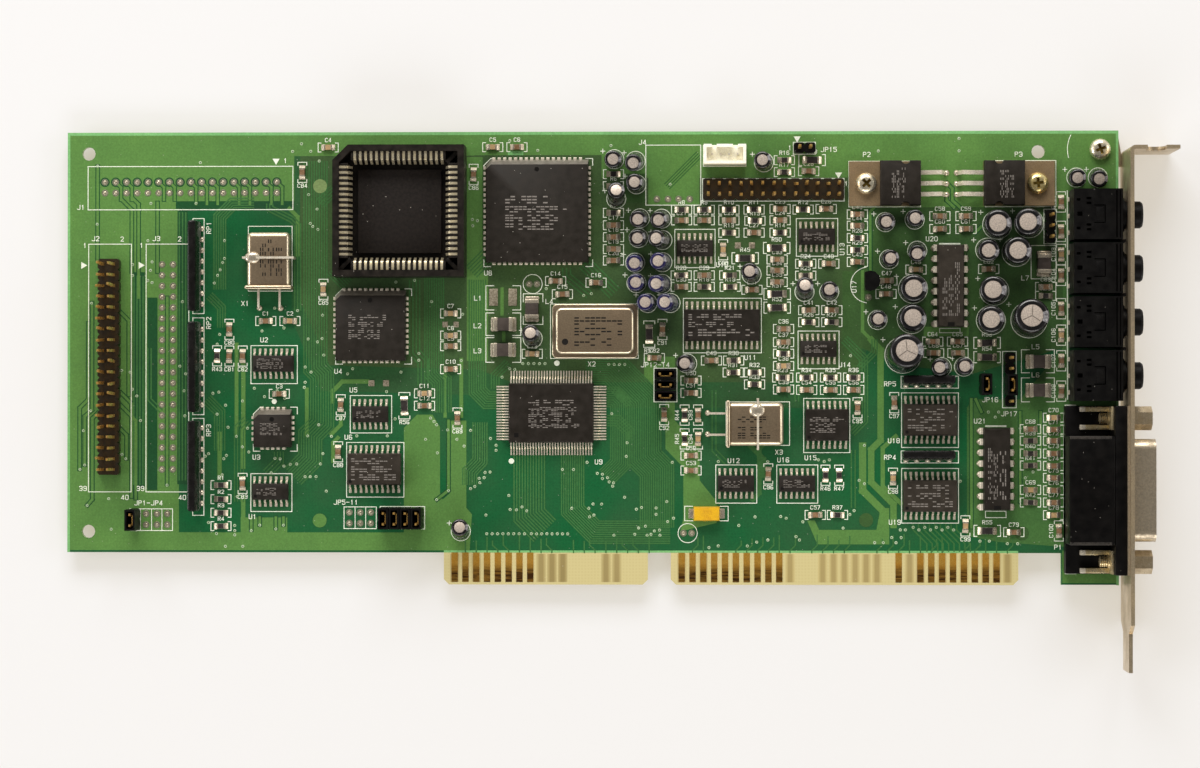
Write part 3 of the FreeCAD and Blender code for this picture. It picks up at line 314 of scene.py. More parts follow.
# Screws and nuts: steel with a zinc coat, yellow or nearly white. Pan heads with a cross recess pressed into
# the crown: one clamps the bracket's tab, and two clamp the regulators.
SCREW_CROWN, RECESS_DEPTH = 1.86, 0.9
yellow_zinc = finish("yellow_zinc", (234, 216, 160), (212, 190, 124), 0.3, 0.85, 900.0, 5000.0, 0.5)
pale_zinc = finish("pale_zinc", (244, 236, 212), (226, 214, 182), 0.28, 0.85, 900.0, 5000.0, 0.5)
# The cross recess takes a darker, yellower copy of the zinc: painted shade.
recess_dark = finish("recess_dark", (176, 150, 74), (112, 92, 36), 0.35, 0.8, 1500.0, 5000.0)


def template(bm):
    """Keeps a shape at the origin, to be set into pieces."""
    mesh = bpy.data.meshes.new("template")
    bmesh.ops.recalc_face_normals(bm, faces=bm.faces)
    bm.to_mesh(mesh)
    bm.free()
    return mesh


def stamp(bm, mesh, matrix, material=0):
    """Sets one copy of a template into a piece."""
    copy = mesh.copy()
    copy.transform(matrix)
    if material:
        copy.polygons.foreach_set("material_index", [material] * len(copy.polygons))
    bm.from_mesh(copy)
    bpy.data.meshes.remove(copy)


def turned(bm, profile, steps, material=0):
    """Spins a profile of (radius, height) points about the upright axis. Returns the new faces."""
    before = set(bm.faces)
    verts = [bm.verts.new((radius * MM, 0.0, height * MM)) for radius, height in profile]
    edges = [bm.edges.new(pair) for pair in zip(verts, verts[1:])]
    bmesh.ops.spin(
        bm, geom=verts + edges, cent=(0, 0, 0), axis=(0, 0, 1), dvec=(0, 0, 0),
        angle=2 * math.pi, steps=steps, use_merge=True,
    )
    made = [face for face in bm.faces if face not in before]
    corners = list({vert for face in made for vert in face.verts})
    bmesh.ops.remove_doubles(bm, verts=corners, dist=1e-8)
    faces = [face for face in bm.faces if face not in before]
    paint(faces, material)
    return faces


def picked(made, kind):
    """The corners or faces among what an operator has made."""
    return [item for item in made if isinstance(item, kind)]


def pulled(bm, faces, height):
    """Extrudes faces straight up, or down where the height is negative. Returns the new corners."""
    made = bmesh.ops.extrude_face_region(bm, geom=faces)["geom"]
    moved = picked(made, bmesh.types.BMVert)
    bmesh.ops.translate(bm, verts=moved, vec=(0, 0, height * MM))
    return moved


def sheet_of(bm, points, z):
    """A flat face through (x, y) points in millimetres, at height z."""
    return bm.faces.new([bm.verts.new((x * MM, y * MM, z * MM)) for x, y in points])


def screw_head(shank, skin):
    """A pan head on its shank, with a tapered cross sunk into the crown."""
    bm = bmesh.new()
    profile = [
        (1.32, SCREW_CROWN), (2.05, 1.55), (2.42, 1.0), (2.5, 0.45), (2.46, 0.0), (1.4, 0.0), (1.4, -shank),
        (0, -shank),
    ]
    turned(bm, profile, 28, skin)
    arm, tip = 0.34, 1.2
    cross = [
        (tip, -arm), (tip, arm), (arm, arm), (arm, tip), (-arm, tip), (-arm, arm),
        (-tip, arm), (-tip, -arm), (-arm, -arm), (-arm, -tip), (arm, -tip), (arm, -arm),
    ]
    mouth = sheet_of(bm, cross, SCREW_CROWN)
    floor = pulled(bm, [mouth], -RECESS_DEPTH)
    bmesh.ops.scale(bm, verts=floor, vec=(0.75, 0.75, 1.0))
    # The walls and floor of the recess take the darker zinc: painted shade.
    paint(solid_of(floor)[0], 1)
    bmesh.ops.delete(bm, geom=[mouth], context="FACES_ONLY")
    crown = [edge for edge in bm.edges if edge.is_boundary]
    filled = bmesh.ops.triangle_fill(bm, edges=crown, use_beauty=True)["geom"]
    paint(picked(filled, bmesh.types.BMFace), skin)
    return template(bm)


screws = bmesh.new()
for u, v, seat, shank, turn, skin in (
    (242.7, 94.5, 0.0, 2.5, 0.35, 2), (188.0, 86.5, 1.3, 4.6, 0.75, 2), (228.0, 86.5, 1.3, 4.6, 0.1, 0),
):
    stamp(screws, screw_head(shank, skin), standing(u, v, seat, turn))
add_piece("pan_screws", screws, [yellow_zinc, recess_dark, pale_zinc], "yellow_zinc", "pan_screws")
dress("regulator_nuts", yellow_zinc)

# Copper: foil etched on both faces and covered by the mask, so it shows as a lighter green. Broad pours
# carry ground, and dark gaps are etched round the traces that cross them.
# Some of these tones are painted light: the paler edge green is a painted highlight, and the darker olive
# tones are painted shade.
masks = [
    finish(name, base, tint, 0.42, patch=50.0, grain=grain, bump=0.1, coat=0.06, shine=0.3, dust=0.4)
    for name, base, tint, grain in (
        ("mask_pour", (91, 131, 65), (80, 120, 58), 2600.0),
        ("mask_gap", (28, 76, 41), (22, 67, 36), 2600.0),
        ("mask_trace", (64, 111, 60), (54, 101, 51), 2600.0),
        ("mask_edge", (122, 178, 114), (110, 168, 104), 2600.0),
        ("mask_dim", (60, 92, 46), (50, 80, 40), 2600.0),
        ("mask_spot", (126, 148, 94), (114, 136, 84), 2600.0),
        ("mask_inner", (64, 89, 49), (54, 80, 44), 2600.0),
        ("mask_inner_edge", (38, 88, 47), (43, 80, 44), 2600.0),
        ("mask_plane", (70, 110, 56), (60, 99, 49), 2600.0),
        ("tongue_shade_edge", (180, 164, 112), (184, 169, 117), 30.0),
        ("tongue_shade_side", (166, 149, 98), (170, 154, 103), 30.0),
        ("tongue_shade", (151, 134, 86), (156, 139, 91), 30.0),
    )
]
POUR, GAP, TRACE, HIGHLIGHT, PAINTED_SHADE, SPOT, MIDDLE_SHADE, MIDDLE_SHADE_EDGE, PLANE, SHADE = range(10)
overlay(masks[POUR], threads_in(masks[POUR], 0.3), colour(76, 122, 58))
SHADE_STEPS = ((2.2, 0.008), (1.6, 0.012), (1.0, 0.016))
MIDDLE_SHADE_EDGE_TOP, MIDDLE_SHADE_TOP, PAINTED_SHADE_TOP, HIGHLIGHT_TOP, POUR_TOP = 0.002, 0.009, 0.017, 0.018, 0.025
GAP_TOP, BAND_TOP, STRIP_TOP, TRACE_TOP = 0.033, 0.041, 0.045, 0.05
UNDER_POUR_TOP = 0.02
FILM_JITTER = 0.006


def area(bm, points, top, material=0, holes=()):
    """A flat film over an outline of (u, v) points, with holes of (u, v, radius)."""
    top += random.uniform(0.0, FILM_JITTER)
    circle = [(math.cos(step * math.pi / 12), math.sin(step * math.pi / 12)) for step in range(24)]
    loops = [points] + [[(u + radius * x, v + radius * y) for x, y in circle] for u, v, radius in holes]
    edges = []
    for loop in loops:
        verts = [bm.verts.new(at(u, v)) for u, v in loop]
        edges += [bm.edges.new(pair) for pair in zip(verts, verts[1:] + verts[:1])]
    filled = bmesh.ops.triangle_fill(bm, edges=edges, use_beauty=True)["geom"]
    lifted = pulled(bm, picked(filled, bmesh.types.BMFace), top)
    paint(solid_of(lifted)[0], material)


def oblong(u0, v0, u1, v1):
    return [(u0, v0), (u1, v0), (u1, v1), (u0, v1)]


ribbon = bmesh.new()
bmesh.ops.create_cube(ribbon, size=1.0)
ribbon = template(ribbon)


def line(bm, points, width, top, material=0, low=0.0):
    """A flat ribbon along (u, v) points. Each stretch has its own height, so that no two share a plane."""
    for start, end in zip(points, points[1:]):
        run = Vector(end) - Vector(start)
        middle = (Vector(start) + Vector(end)) / 2
        depth = top - low + random.uniform(0.0, FILM_JITTER)
        sides = Matrix.Diagonal(((run.length + width * 0.8) * MM, width * MM, depth * MM, 1.0))
        stamp(bm, ribbon, standing(*middle, low + depth / 2, math.atan2(run.y, run.x)) @ sides, material)


disc = bmesh.new()
bmesh.ops.create_cone(disc, cap_ends=True, segments=20, radius1=1.0, radius2=1.0, depth=1.0)
disc = template(disc)


def dot(bm, u, v, radius, top, material=0):
    """A flat round film."""
    sides = Matrix.Diagonal((radius * MM, radius * MM, top * MM, 1.0))
    stamp(bm, disc, standing(u, v, top / 2) @ sides, material)


def spread(count, pitch):
    """Places along a row, counted from its middle."""
    return [(index - (count - 1) / 2) * pitch for index in range(count)]


def shifted(points, distance):
    """The same run of points, moved sideways with its corners kept."""
    points = [Vector(point) for point in points]
    sides = [(after - before).normalized().orthogonal() for before, after in zip(points, points[1:])]
    moved = []
    for index, point in enumerate(points):
        first = sides[max(index - 1, 0)]
        last = sides[min(index, len(sides) - 1)]
        middle = (first + last).normalized()
        moved.append(point + middle * (distance / middle.dot(first)))
    return moved


tooling_holes = [(5.0, 93.9, 1.6), (5.0, 4.85, 1.6), (228.3, 94.0, 1.6)]


def holes_in(outline):
    """The tooling holes that lie inside the span of an outline."""
    wide = [u for u, v in outline]
    tall = [v for u, v in outline]
    return [
        (u, v, radius) for u, v, radius in tooling_holes
        if min(wide) < u < max(wide) and min(tall) < v < max(tall)
    ]


copper = bmesh.new()
# A darker olive film over the middle of the board, with a darker border round it: painted shade of the tall
# parts.
for outline, top, tone in (
    ([(53.0, 93.6), (53.0, 55.0), (60.0, 38.0), (96.0, 37.0), (104.0, 34.0), (188.0, 34.0), (188.0, 93.6)],
     MIDDLE_SHADE_EDGE_TOP, MIDDLE_SHADE_EDGE),
    ([(55.0, 93.4), (55.0, 59.0), (62.0, 44.0), (97.0, 43.0), (105.0, 40.0), (186.0, 40.0), (186.0, 93.4)],
     MIDDLE_SHADE_TOP, MIDDLE_SHADE),
    # The films round the amplifier and the strip beside them are darker olive: painted shade of the tall
    # cans.
    (oblong(182.5, 43.0, 187.0, 66.0), PAINTED_SHADE_TOP, PAINTED_SHADE),
    ([(187.0, 81.0), (187.0, 48.0), (196.0, 44.0), (213.0, 42.0), (234.0, 48.0), (234.0, 81.0)], PAINTED_SHADE_TOP,
     PAINTED_SHADE),
):
    area(copper, outline, top, tone)
for outline in (
    oblong(0.6, 0.5, 26.4, 98.2), oblong(26.4, 82.7, 53.6, 98.2), oblong(26.4, 0.5, 88.0, 4.7),
    oblong(41.0, 4.7, 52.0, 8.2), oblong(53.6, 93.3, 96.0, 98.2), oblong(96.0, 93.4, 126.0, 98.2),
    oblong(126.0, 88.0, 184.0, 98.2), [(184.0, 81.0), (246.4, 81.0), (246.4, 98.2), (184.0, 98.2)],
    [(79.5, 4.7), (88.0, 4.7), (88.6, 12.5), (88.0, 14.0), (88.0, 29.5), (86.2, 32.4), (82.6, 32.4),
     (79.5, 29.3)],
    [(87.0, 0.5), (95.0, 0.5), (95.5, 9.0), (94.2, 10.5), (94.2, 31.0), (90.4, 31.0), (90.4, 14.0),
     (87.0, 11.0)],
    [(94.3, 45.0), (99.3, 45.0), (99.3, 65.0), (98.0, 66.5), (98.0, 93.0), (94.3, 93.0)],
    [(136.0, 46.0), (143.2, 46.0), (143.2, 31.0), (149.0, 25.0), (149.0, 17.0), (153.0, 12.0), (153.0, 7.0),
     (144.5, 5.0), (145.2, 8.0), (145.2, 20.0), (141.0, 24.4), (141.0, 37.0), (136.0, 41.0)],
    oblong(137.0, 81.6, 149.0, 88.0),
    [(174.2, 7.6), (176.6, 2.0), (193.4, 2.0), (193.4, 10.5), (191.4, 10.5), (190.4, 5.4), (177.0, 5.4),
     (176.0, 7.6)],
    [(233.8, -7.0), (246.4, -7.0), (246.4, 0.6), (233.8, 0.6)], oblong(201.5, 50.8, 212.0, 53.0),
):
    area(copper, outline, POUR_TOP, POUR, holes_in(outline))
plane = [
    (211.6, 4.0), (219.0, 2.6), (246.4, 0.6), (246.4, 81.0), (234.0, 81.0), (234.0, 48.0), (224.0, 36.0),
    (213.0, 36.0), (211.6, 34.0),
]
area(copper, plane, POUR_TOP, PLANE)
# Paler green strips along the edges of the board: a painted highlight.
for outline in (
    oblong(0.0, 98.2, 247.0, 98.9), oblong(0.0, 0.0, 0.6, 98.2), oblong(246.4, -7.5, 247.0, 98.2),
    oblong(88.9, 0.0, 223.5, 0.5),
):
    area(copper, outline, HIGHLIGHT_TOP, HIGHLIGHT)
# A small paler patch near the top edge: a painted highlight.
area(copper, oblong(104.0, 93.4, 107.6, 94.4), GAP_TOP, HIGHLIGHT)
for u, v, tone in ((59.7, 86.2, SPOT), (59.65, 7.5, POUR), (188.0, 7.7, PAINTED_SHADE), (224.4, 4.6, PAINTED_SHADE)):
    dot(copper, u, v, 1.65, 0.06, tone)
for outline in (
    oblong(15.4, 15.0, 18.3, 66.0), oblong(18.9, 14.6, 21.3, 60.0), oblong(26.0, 16.0, 28.4, 80.4),
    oblong(25.6, 80.9, 53.0, 82.7), oblong(235.5, 36.0, 247.0, 84.8),
):
    area(copper, outline, GAP_TOP, GAP)
# A darker patch beside the capacitors: painted shade.
area(copper, [(128.0, 82.2), (136.2, 82.2), (136.2, 89.0), (131.0, 89.0)], GAP_TOP, PAINTED_SHADE)
drill_columns = [8.83 + PITCH * index for index in range(17)]
drill_rows = (87.2, 84.66)
drill_places = [(u, v) for u in drill_columns for v in drill_rows]
for index, u in enumerate(drill_columns):
    bottom = 82.0 if index > 6 else 83.0
    run = [(u, drill_rows[0]), (u + PITCH / 2, 86.0), (u + PITCH / 2, bottom)]
    if index in (1, 2, 5, 6, 8, 9, 10, 12, 13, 15, 16):
        line(copper, run, 1.05, BAND_TOP, GAP)
        line(copper, run, 0.6, TRACE_TOP, POUR)
    dot(copper, u, drill_rows[0], 1.12, STRIP_TOP, GAP)
for run in (
    [(7.1, 91.0), (7.1, 69.0)], [(12.7, 83.2), (15.2, 80.7), (15.2, 66.0)],
    [(15.2, 83.6), (16.8, 82.0), (16.8, 60.0)], [(21.3, 82.4), (21.3, 66.0)],
    [(4.9, 54.0), (4.9, 36.0), (2.9, 34.0), (2.9, 19.5)],
    [(5.8, 58.8), (5.8, 33.5), (4.1, 32.0), (4.1, 20.5)],
    [(4.7, 11.0), (5.9, 12.4), (5.9, 31.5), (7.2, 32.8)], [(12.6, 56.5), (14.5, 54.6), (14.5, 37.0)],
    [(12.6, 29.0), (14.0, 27.6), (14.0, 22.0)], [(12.6, 37.6), (15.2, 35.0), (15.2, 13.0)],
    [(12.6, 34.6), (16.2, 31.0), (16.2, 12.6)], [(23.6, 60.0), (23.6, 16.0)], [(43.5, 8.2), (43.5, 5.2)],
    [(45.5, 8.2), (45.5, 6.4)], [(49.3, 8.2), (49.3, 5.6)], [(51.1, 8.2), (51.1, 6.4)],
    [(90.0, 31.0), (90.0, 14.6)], [(90.0, 14.6), (87.2, 12.4)],
    [(206.9, 84.0), (206.9, 82.6), (208.6, 81.0)],
    [(206.9, 86.7), (208.2, 85.4), (208.2, 82.6), (210.0, 81.0)], [(213.5, 75.0), (215.0, 76.5)],
    [(191.0, 82.0), (189.0, 80.0), (189.0, 66.0)], [(224.0, 33.0), (224.0, 12.0)],
    [(228.8, 22.5), (228.8, 33.0)], [(212.6, 36.0), (212.6, 6.0)], [(213.6, 36.0), (215.0, 33.0)],
):
    line(copper, run, 1.1, BAND_TOP, GAP)
    line(copper, run, 0.64, TRACE_TOP, POUR)
for offset in spread(4, 0.55):
    line(copper, shifted([(141.4, 86.0), (148.9, 93.5)], offset), 0.17, BAND_TOP, GAP)
for run, count, pitch, width in (
    ([(109.0, 23.0), (109.0, 8.8), (112.6, 5.2)], 12, 0.65, 0.3),
    ([(119.2, 23.0), (119.2, 10.0), (124.4, 4.8), (142.0, 4.8)], 11, 0.52, 0.28),
    ([(122.4, 43.6), (128.2, 43.6), (136.0, 35.8), (136.0, 22.4), (139.0, 19.4), (139.0, 6.0)], 16, 0.52,
     0.3),
    ([(127.4, 36.6), (129.0, 36.6), (130.4, 35.2), (130.4, 21.0), (127.2, 17.8)], 10, 0.5, 0.28),
    ([(127.4, 31.0), (129.8, 31.0), (132.4, 28.4), (132.4, 26.6)], 5, 0.6, 0.28),
    ([(96.8, 64.0), (96.8, 38.0), (99.0, 35.8), (101.2, 35.8)], 8, 0.55, 0.3),
    ([(97.4, 30.5), (97.4, 21.5), (95.0, 19.0), (95.0, 16.0)], 7, 0.55, 0.3),
    ([(58.6, 92.0), (58.6, 43.4), (60.2, 41.8), (60.2, 30.4), (57.4, 27.6), (57.4, 22.0), (53.4, 18.0)], 10,
     0.6, 0.3),
    ([(44.0, 82.0), (39.0, 82.0), (36.0, 79.0), (36.0, 62.0)], 6, 0.55, 0.3),
    ([(47.8, 82.0), (47.8, 81.0), (53.0, 78.4), (54.4, 77.0), (54.4, 57.0)], 3, 0.7, 0.34),
    ([(86.6, 64.6), (86.6, 42.2), (88.4, 40.4), (88.4, 33.0)], 9, 0.55, 0.3),
    ([(95.4, 66.0), (99.4, 70.0)], 6, 0.7, 0.3), ([(62.6, 66.4), (66.0, 63.0)], 6, 0.6, 0.28),
    ([(63.0, 85.4), (59.8, 82.2)], 5, 0.6, 0.28),
    ([(33.6, 60.4), (36.4, 57.6), (36.4, 53.0)], 4, 0.6, 0.28),
    ([(33.0, 36.0), (36.0, 33.0), (36.0, 24.0)], 5, 0.6, 0.28),
    ([(42.4, 31.0), (40.6, 29.2), (40.6, 12.0)], 4, 0.7, 0.3),
    ([(50.0, 23.6), (50.0, 21.4), (47.2, 18.6)], 4, 0.7, 0.28),
    ([(82.0, 64.0), (82.0, 47.0), (84.0, 45.0), (84.0, 39.4)], 4, 0.8, 0.3),
    ([(190.0, 50.0), (190.0, 47.0), (186.4, 43.4)], 3, 0.6, 0.3),
    ([(183.0, 50.0), (187.4, 45.6), (187.4, 31.0), (184.6, 28.2)], 4, 0.62, 0.3),
    ([(122.0, 68.0), (129.0, 61.0)], 5, 0.8, 0.3),
    ([(117.8, 66.8), (117.8, 65.0), (123.0, 60.6)], 3, 0.9, 0.28),
    ([(104.0, 44.6), (101.0, 41.6), (101.0, 38.6)], 4, 0.6, 0.28),
    ([(171.8, 35.6), (171.8, 45.0)], 2, 0.8, 0.3), ([(16.8, 65.0), (16.8, 16.0)], 4, 0.72, 0.34),
    ([(27.2, 80.0), (27.2, 17.0)], 3, 0.75, 0.32),
    ([(19.4, 48.0), (19.4, 36.0), (22.2, 33.2)], 2, 0.8, 0.3),
    ([(152.4, 38.0), (152.4, 24.0), (155.4, 21.0)], 2, 0.9, 0.3),
    ([(164.6, 26.0), (163.0, 24.4), (163.0, 14.0), (161.4, 12.4)], 1, 1.0, 1.1),
    ([(161.0, 25.0), (164.0, 22.0), (164.0, 18.0)], 1, 1.0, 1.2),
    ([(185.0, 24.0), (185.0, 10.6)], 2, 0.9, 0.3),
):
    for offset in spread(count, pitch):
        line(copper, shifted(run, offset), width, TRACE_TOP, TRACE)
for run, width in (
    ([(189.2, 50.0), (191.4, 47.6), (191.4, 26.4), (189.2, 24.2), (189.2, 16.6), (194.4, 11.4),
      (194.4, 6.4)],
     1.5),
    ([(195.0, 27.4), (191.9, 24.6), (191.9, 15.6), (196.2, 11.6)], 1.0),
    ([(187.2, 25.2), (187.2, 14.6), (192.2, 9.6), (192.2, 4.0)], 1.7), ([(40.0, 49.0), (40.0, 28.0)], 0.9),
    ([(41.6, 45.0), (41.6, 20.0)], 1.0), ([(41.6, 13.0), (41.6, 4.0)], 1.0),
    ([(64.0, 27.0), (62.8, 25.8), (62.8, 21.4)], 0.9),
    ([(71.0, 40.2), (65.0, 40.2), (62.6, 37.8), (62.6, 35.4)], 1.0),
    ([(64.6, 32.0), (64.6, 30.0), (62.4, 27.8)], 0.9), ([(56.6, 38.4), (56.6, 27.6)], 0.9),
    ([(93.0, 45.4), (93.0, 32.0)], 0.9), ([(89.2, 42.6), (89.2, 32.0)], 0.8),
    ([(102.6, 62.0), (102.6, 56.0)], 0.8), ([(103.0, 51.6), (103.0, 49.8)], 0.8),
    ([(52.4, 81.0), (54.4, 79.0), (54.4, 70.0)], 0.9), ([(36.0, 28.0), (36.0, 17.4)], 1.0),
    ([(187.2, 66.0), (187.2, 52.0), (189.0, 50.2)], 0.8),
):
    line(copper, run, width, STRIP_TOP, POUR)
for index in range(52):
    u = LAST_CONTACT - index * PITCH
    in_key_gap = index in (31, 32)
    if not in_key_gap and random.random() < 0.75:
        sway = random.choice((-0.01, -0.01, -1.27)) if u < 140 else random.choice((0.01, 1.27, 1.27))
        end = random.uniform(2.6, 4.4)
        run = [(u, 0.0), (u, 0.5), (u + sway, 0.5 + abs(sway)), (u + sway, end)]
        line(copper, run, 0.3, TRACE_TOP, TRACE)
for index in range(9):
    u = 199.0 + PITCH / 2 * index
    line(copper, [(u, 6.8), (u, 5.4), (u + 3.2, 2.2), (u + 3.2, 0.4)], 0.3, TRACE_TOP, TRACE)
for u in under_places:
    for tone, (width, height) in enumerate(SHADE_STEPS, SHADE):
        block(copper, u, -3.6, 0.0, width, 6.6, height, 0.0, tone)
add_piece("copper_artwork", copper, masks, "board_laminate")
under_copper = bmesh.new()
for outline in (
    oblong(0.6, 0.5, 60.0, 12.0), oblong(0.6, 84.0, 120.0, 98.2), oblong(186.0, 60.0, 246.4, 92.0),
    oblong(212.0, 0.6, 234.0, 60.0), oblong(126.0, 46.0, 150.0, 98.2), oblong(62.0, 0.6, 88.0, 40.0),
    oblong(126.0, 12.0, 148.0, 30.0),
):
    area(under_copper, outline, UNDER_POUR_TOP, POUR, holes_in(outline))
for run, count, pitch in (
    ([(8.0, 80.0), (8.0, 16.0)], 2, 1.1), ([(16.5, 82.0), (16.5, 20.0)], 8, 0.9),
    ([(34.0, 82.0), (34.0, 16.0)], 10, 0.8), ([(14.0, 14.0), (120.0, 14.0)], 6, 0.7),
    ([(60.0, 62.0), (98.0, 62.0), (110.0, 50.0), (110.0, 16.0)], 12, 0.7),
    ([(96.0, 90.0), (96.0, 50.0), (60.0, 44.0)], 9, 0.7),
    ([(100.0, 40.0), (150.0, 40.0), (156.0, 34.0), (210.0, 34.0)], 10, 0.8),
    ([(160.0, 80.0), (160.0, 24.0)], 8, 0.9),
    ([(176.0, 82.0), (176.0, 40.0), (188.0, 28.0), (210.0, 28.0)], 7, 0.8),
    ([(120.0, 6.0), (206.0, 6.0)], 5, 0.8), ([(92.0, 3.0), (130.0, 3.0)], 3, 0.8),
    ([(194.0, 58.0), (194.0, 14.0)], 5, 0.9),
):
    for offset in spread(count, pitch):
        line(under_copper, shifted(run, offset), 0.3, TRACE_TOP, TRACE)
turned_over = Matrix.Translation((0, 0, 2 * FACE + UNDER * MM)) @ Matrix.Diagonal((1.0, 1.0, -1.0, 1.0))
bmesh.ops.transform(under_copper, matrix=turned_over, verts=under_copper.verts)
add_piece("under_copper", under_copper, masks, "board_laminate")

# Vias and bare pads: plated holes that join the two faces, covered by mask where they are small. Places
# with nothing fitted keep their tinned pads, level with solder.
via_mask = finish("via_mask", (172, 190, 156), (148, 170, 132), 0.35, patch=900.0, shine=0.4)
pad_tin = finish("pad_tin", (142, 142, 120), (114, 116, 94), 0.42, 0.5, 900.0, 3500.0, 0.5, 0.3)
pad_bright = finish("pad_bright", (204, 192, 168), (138, 128, 108), 0.36, 0.6, 2500.0, 3500.0, 0.5, 0.4)
def spun(*skins):
    """A template of spun profiles, given as (profile, steps), each in the next material."""
    bm = bmesh.new()
    for material, (profile, steps) in enumerate(skins):
        turned(bm, profile, steps, material)
    return template(bm)


via_ring = spun(
    ([(0.13, 0.03), (0.17, 0.06), (0.3, 0.055), (0.37, 0.0)], 10), ([(0.0, 0.032), (0.14, 0.032)], 10)
)
pad_ring = spun(
    ([(0.4, 0.05), (0.5, 0.1), (0.74, 0.08), (0.82, 0.0)], 16),
    ([(0.0, 0.17), (0.2, 0.15), (0.42, 0.04)], 12),
)
over = Matrix.Rotation(math.pi, 4, "X")


def on_both_faces(bm, ring, places):
    """Sets a ring at each place, on the face and under the board."""
    for u, v in places:
        stamp(bm, ring, standing(u, v, 0.03))
        stamp(bm, ring, standing(u, v, UNDER - 0.03) @ over)


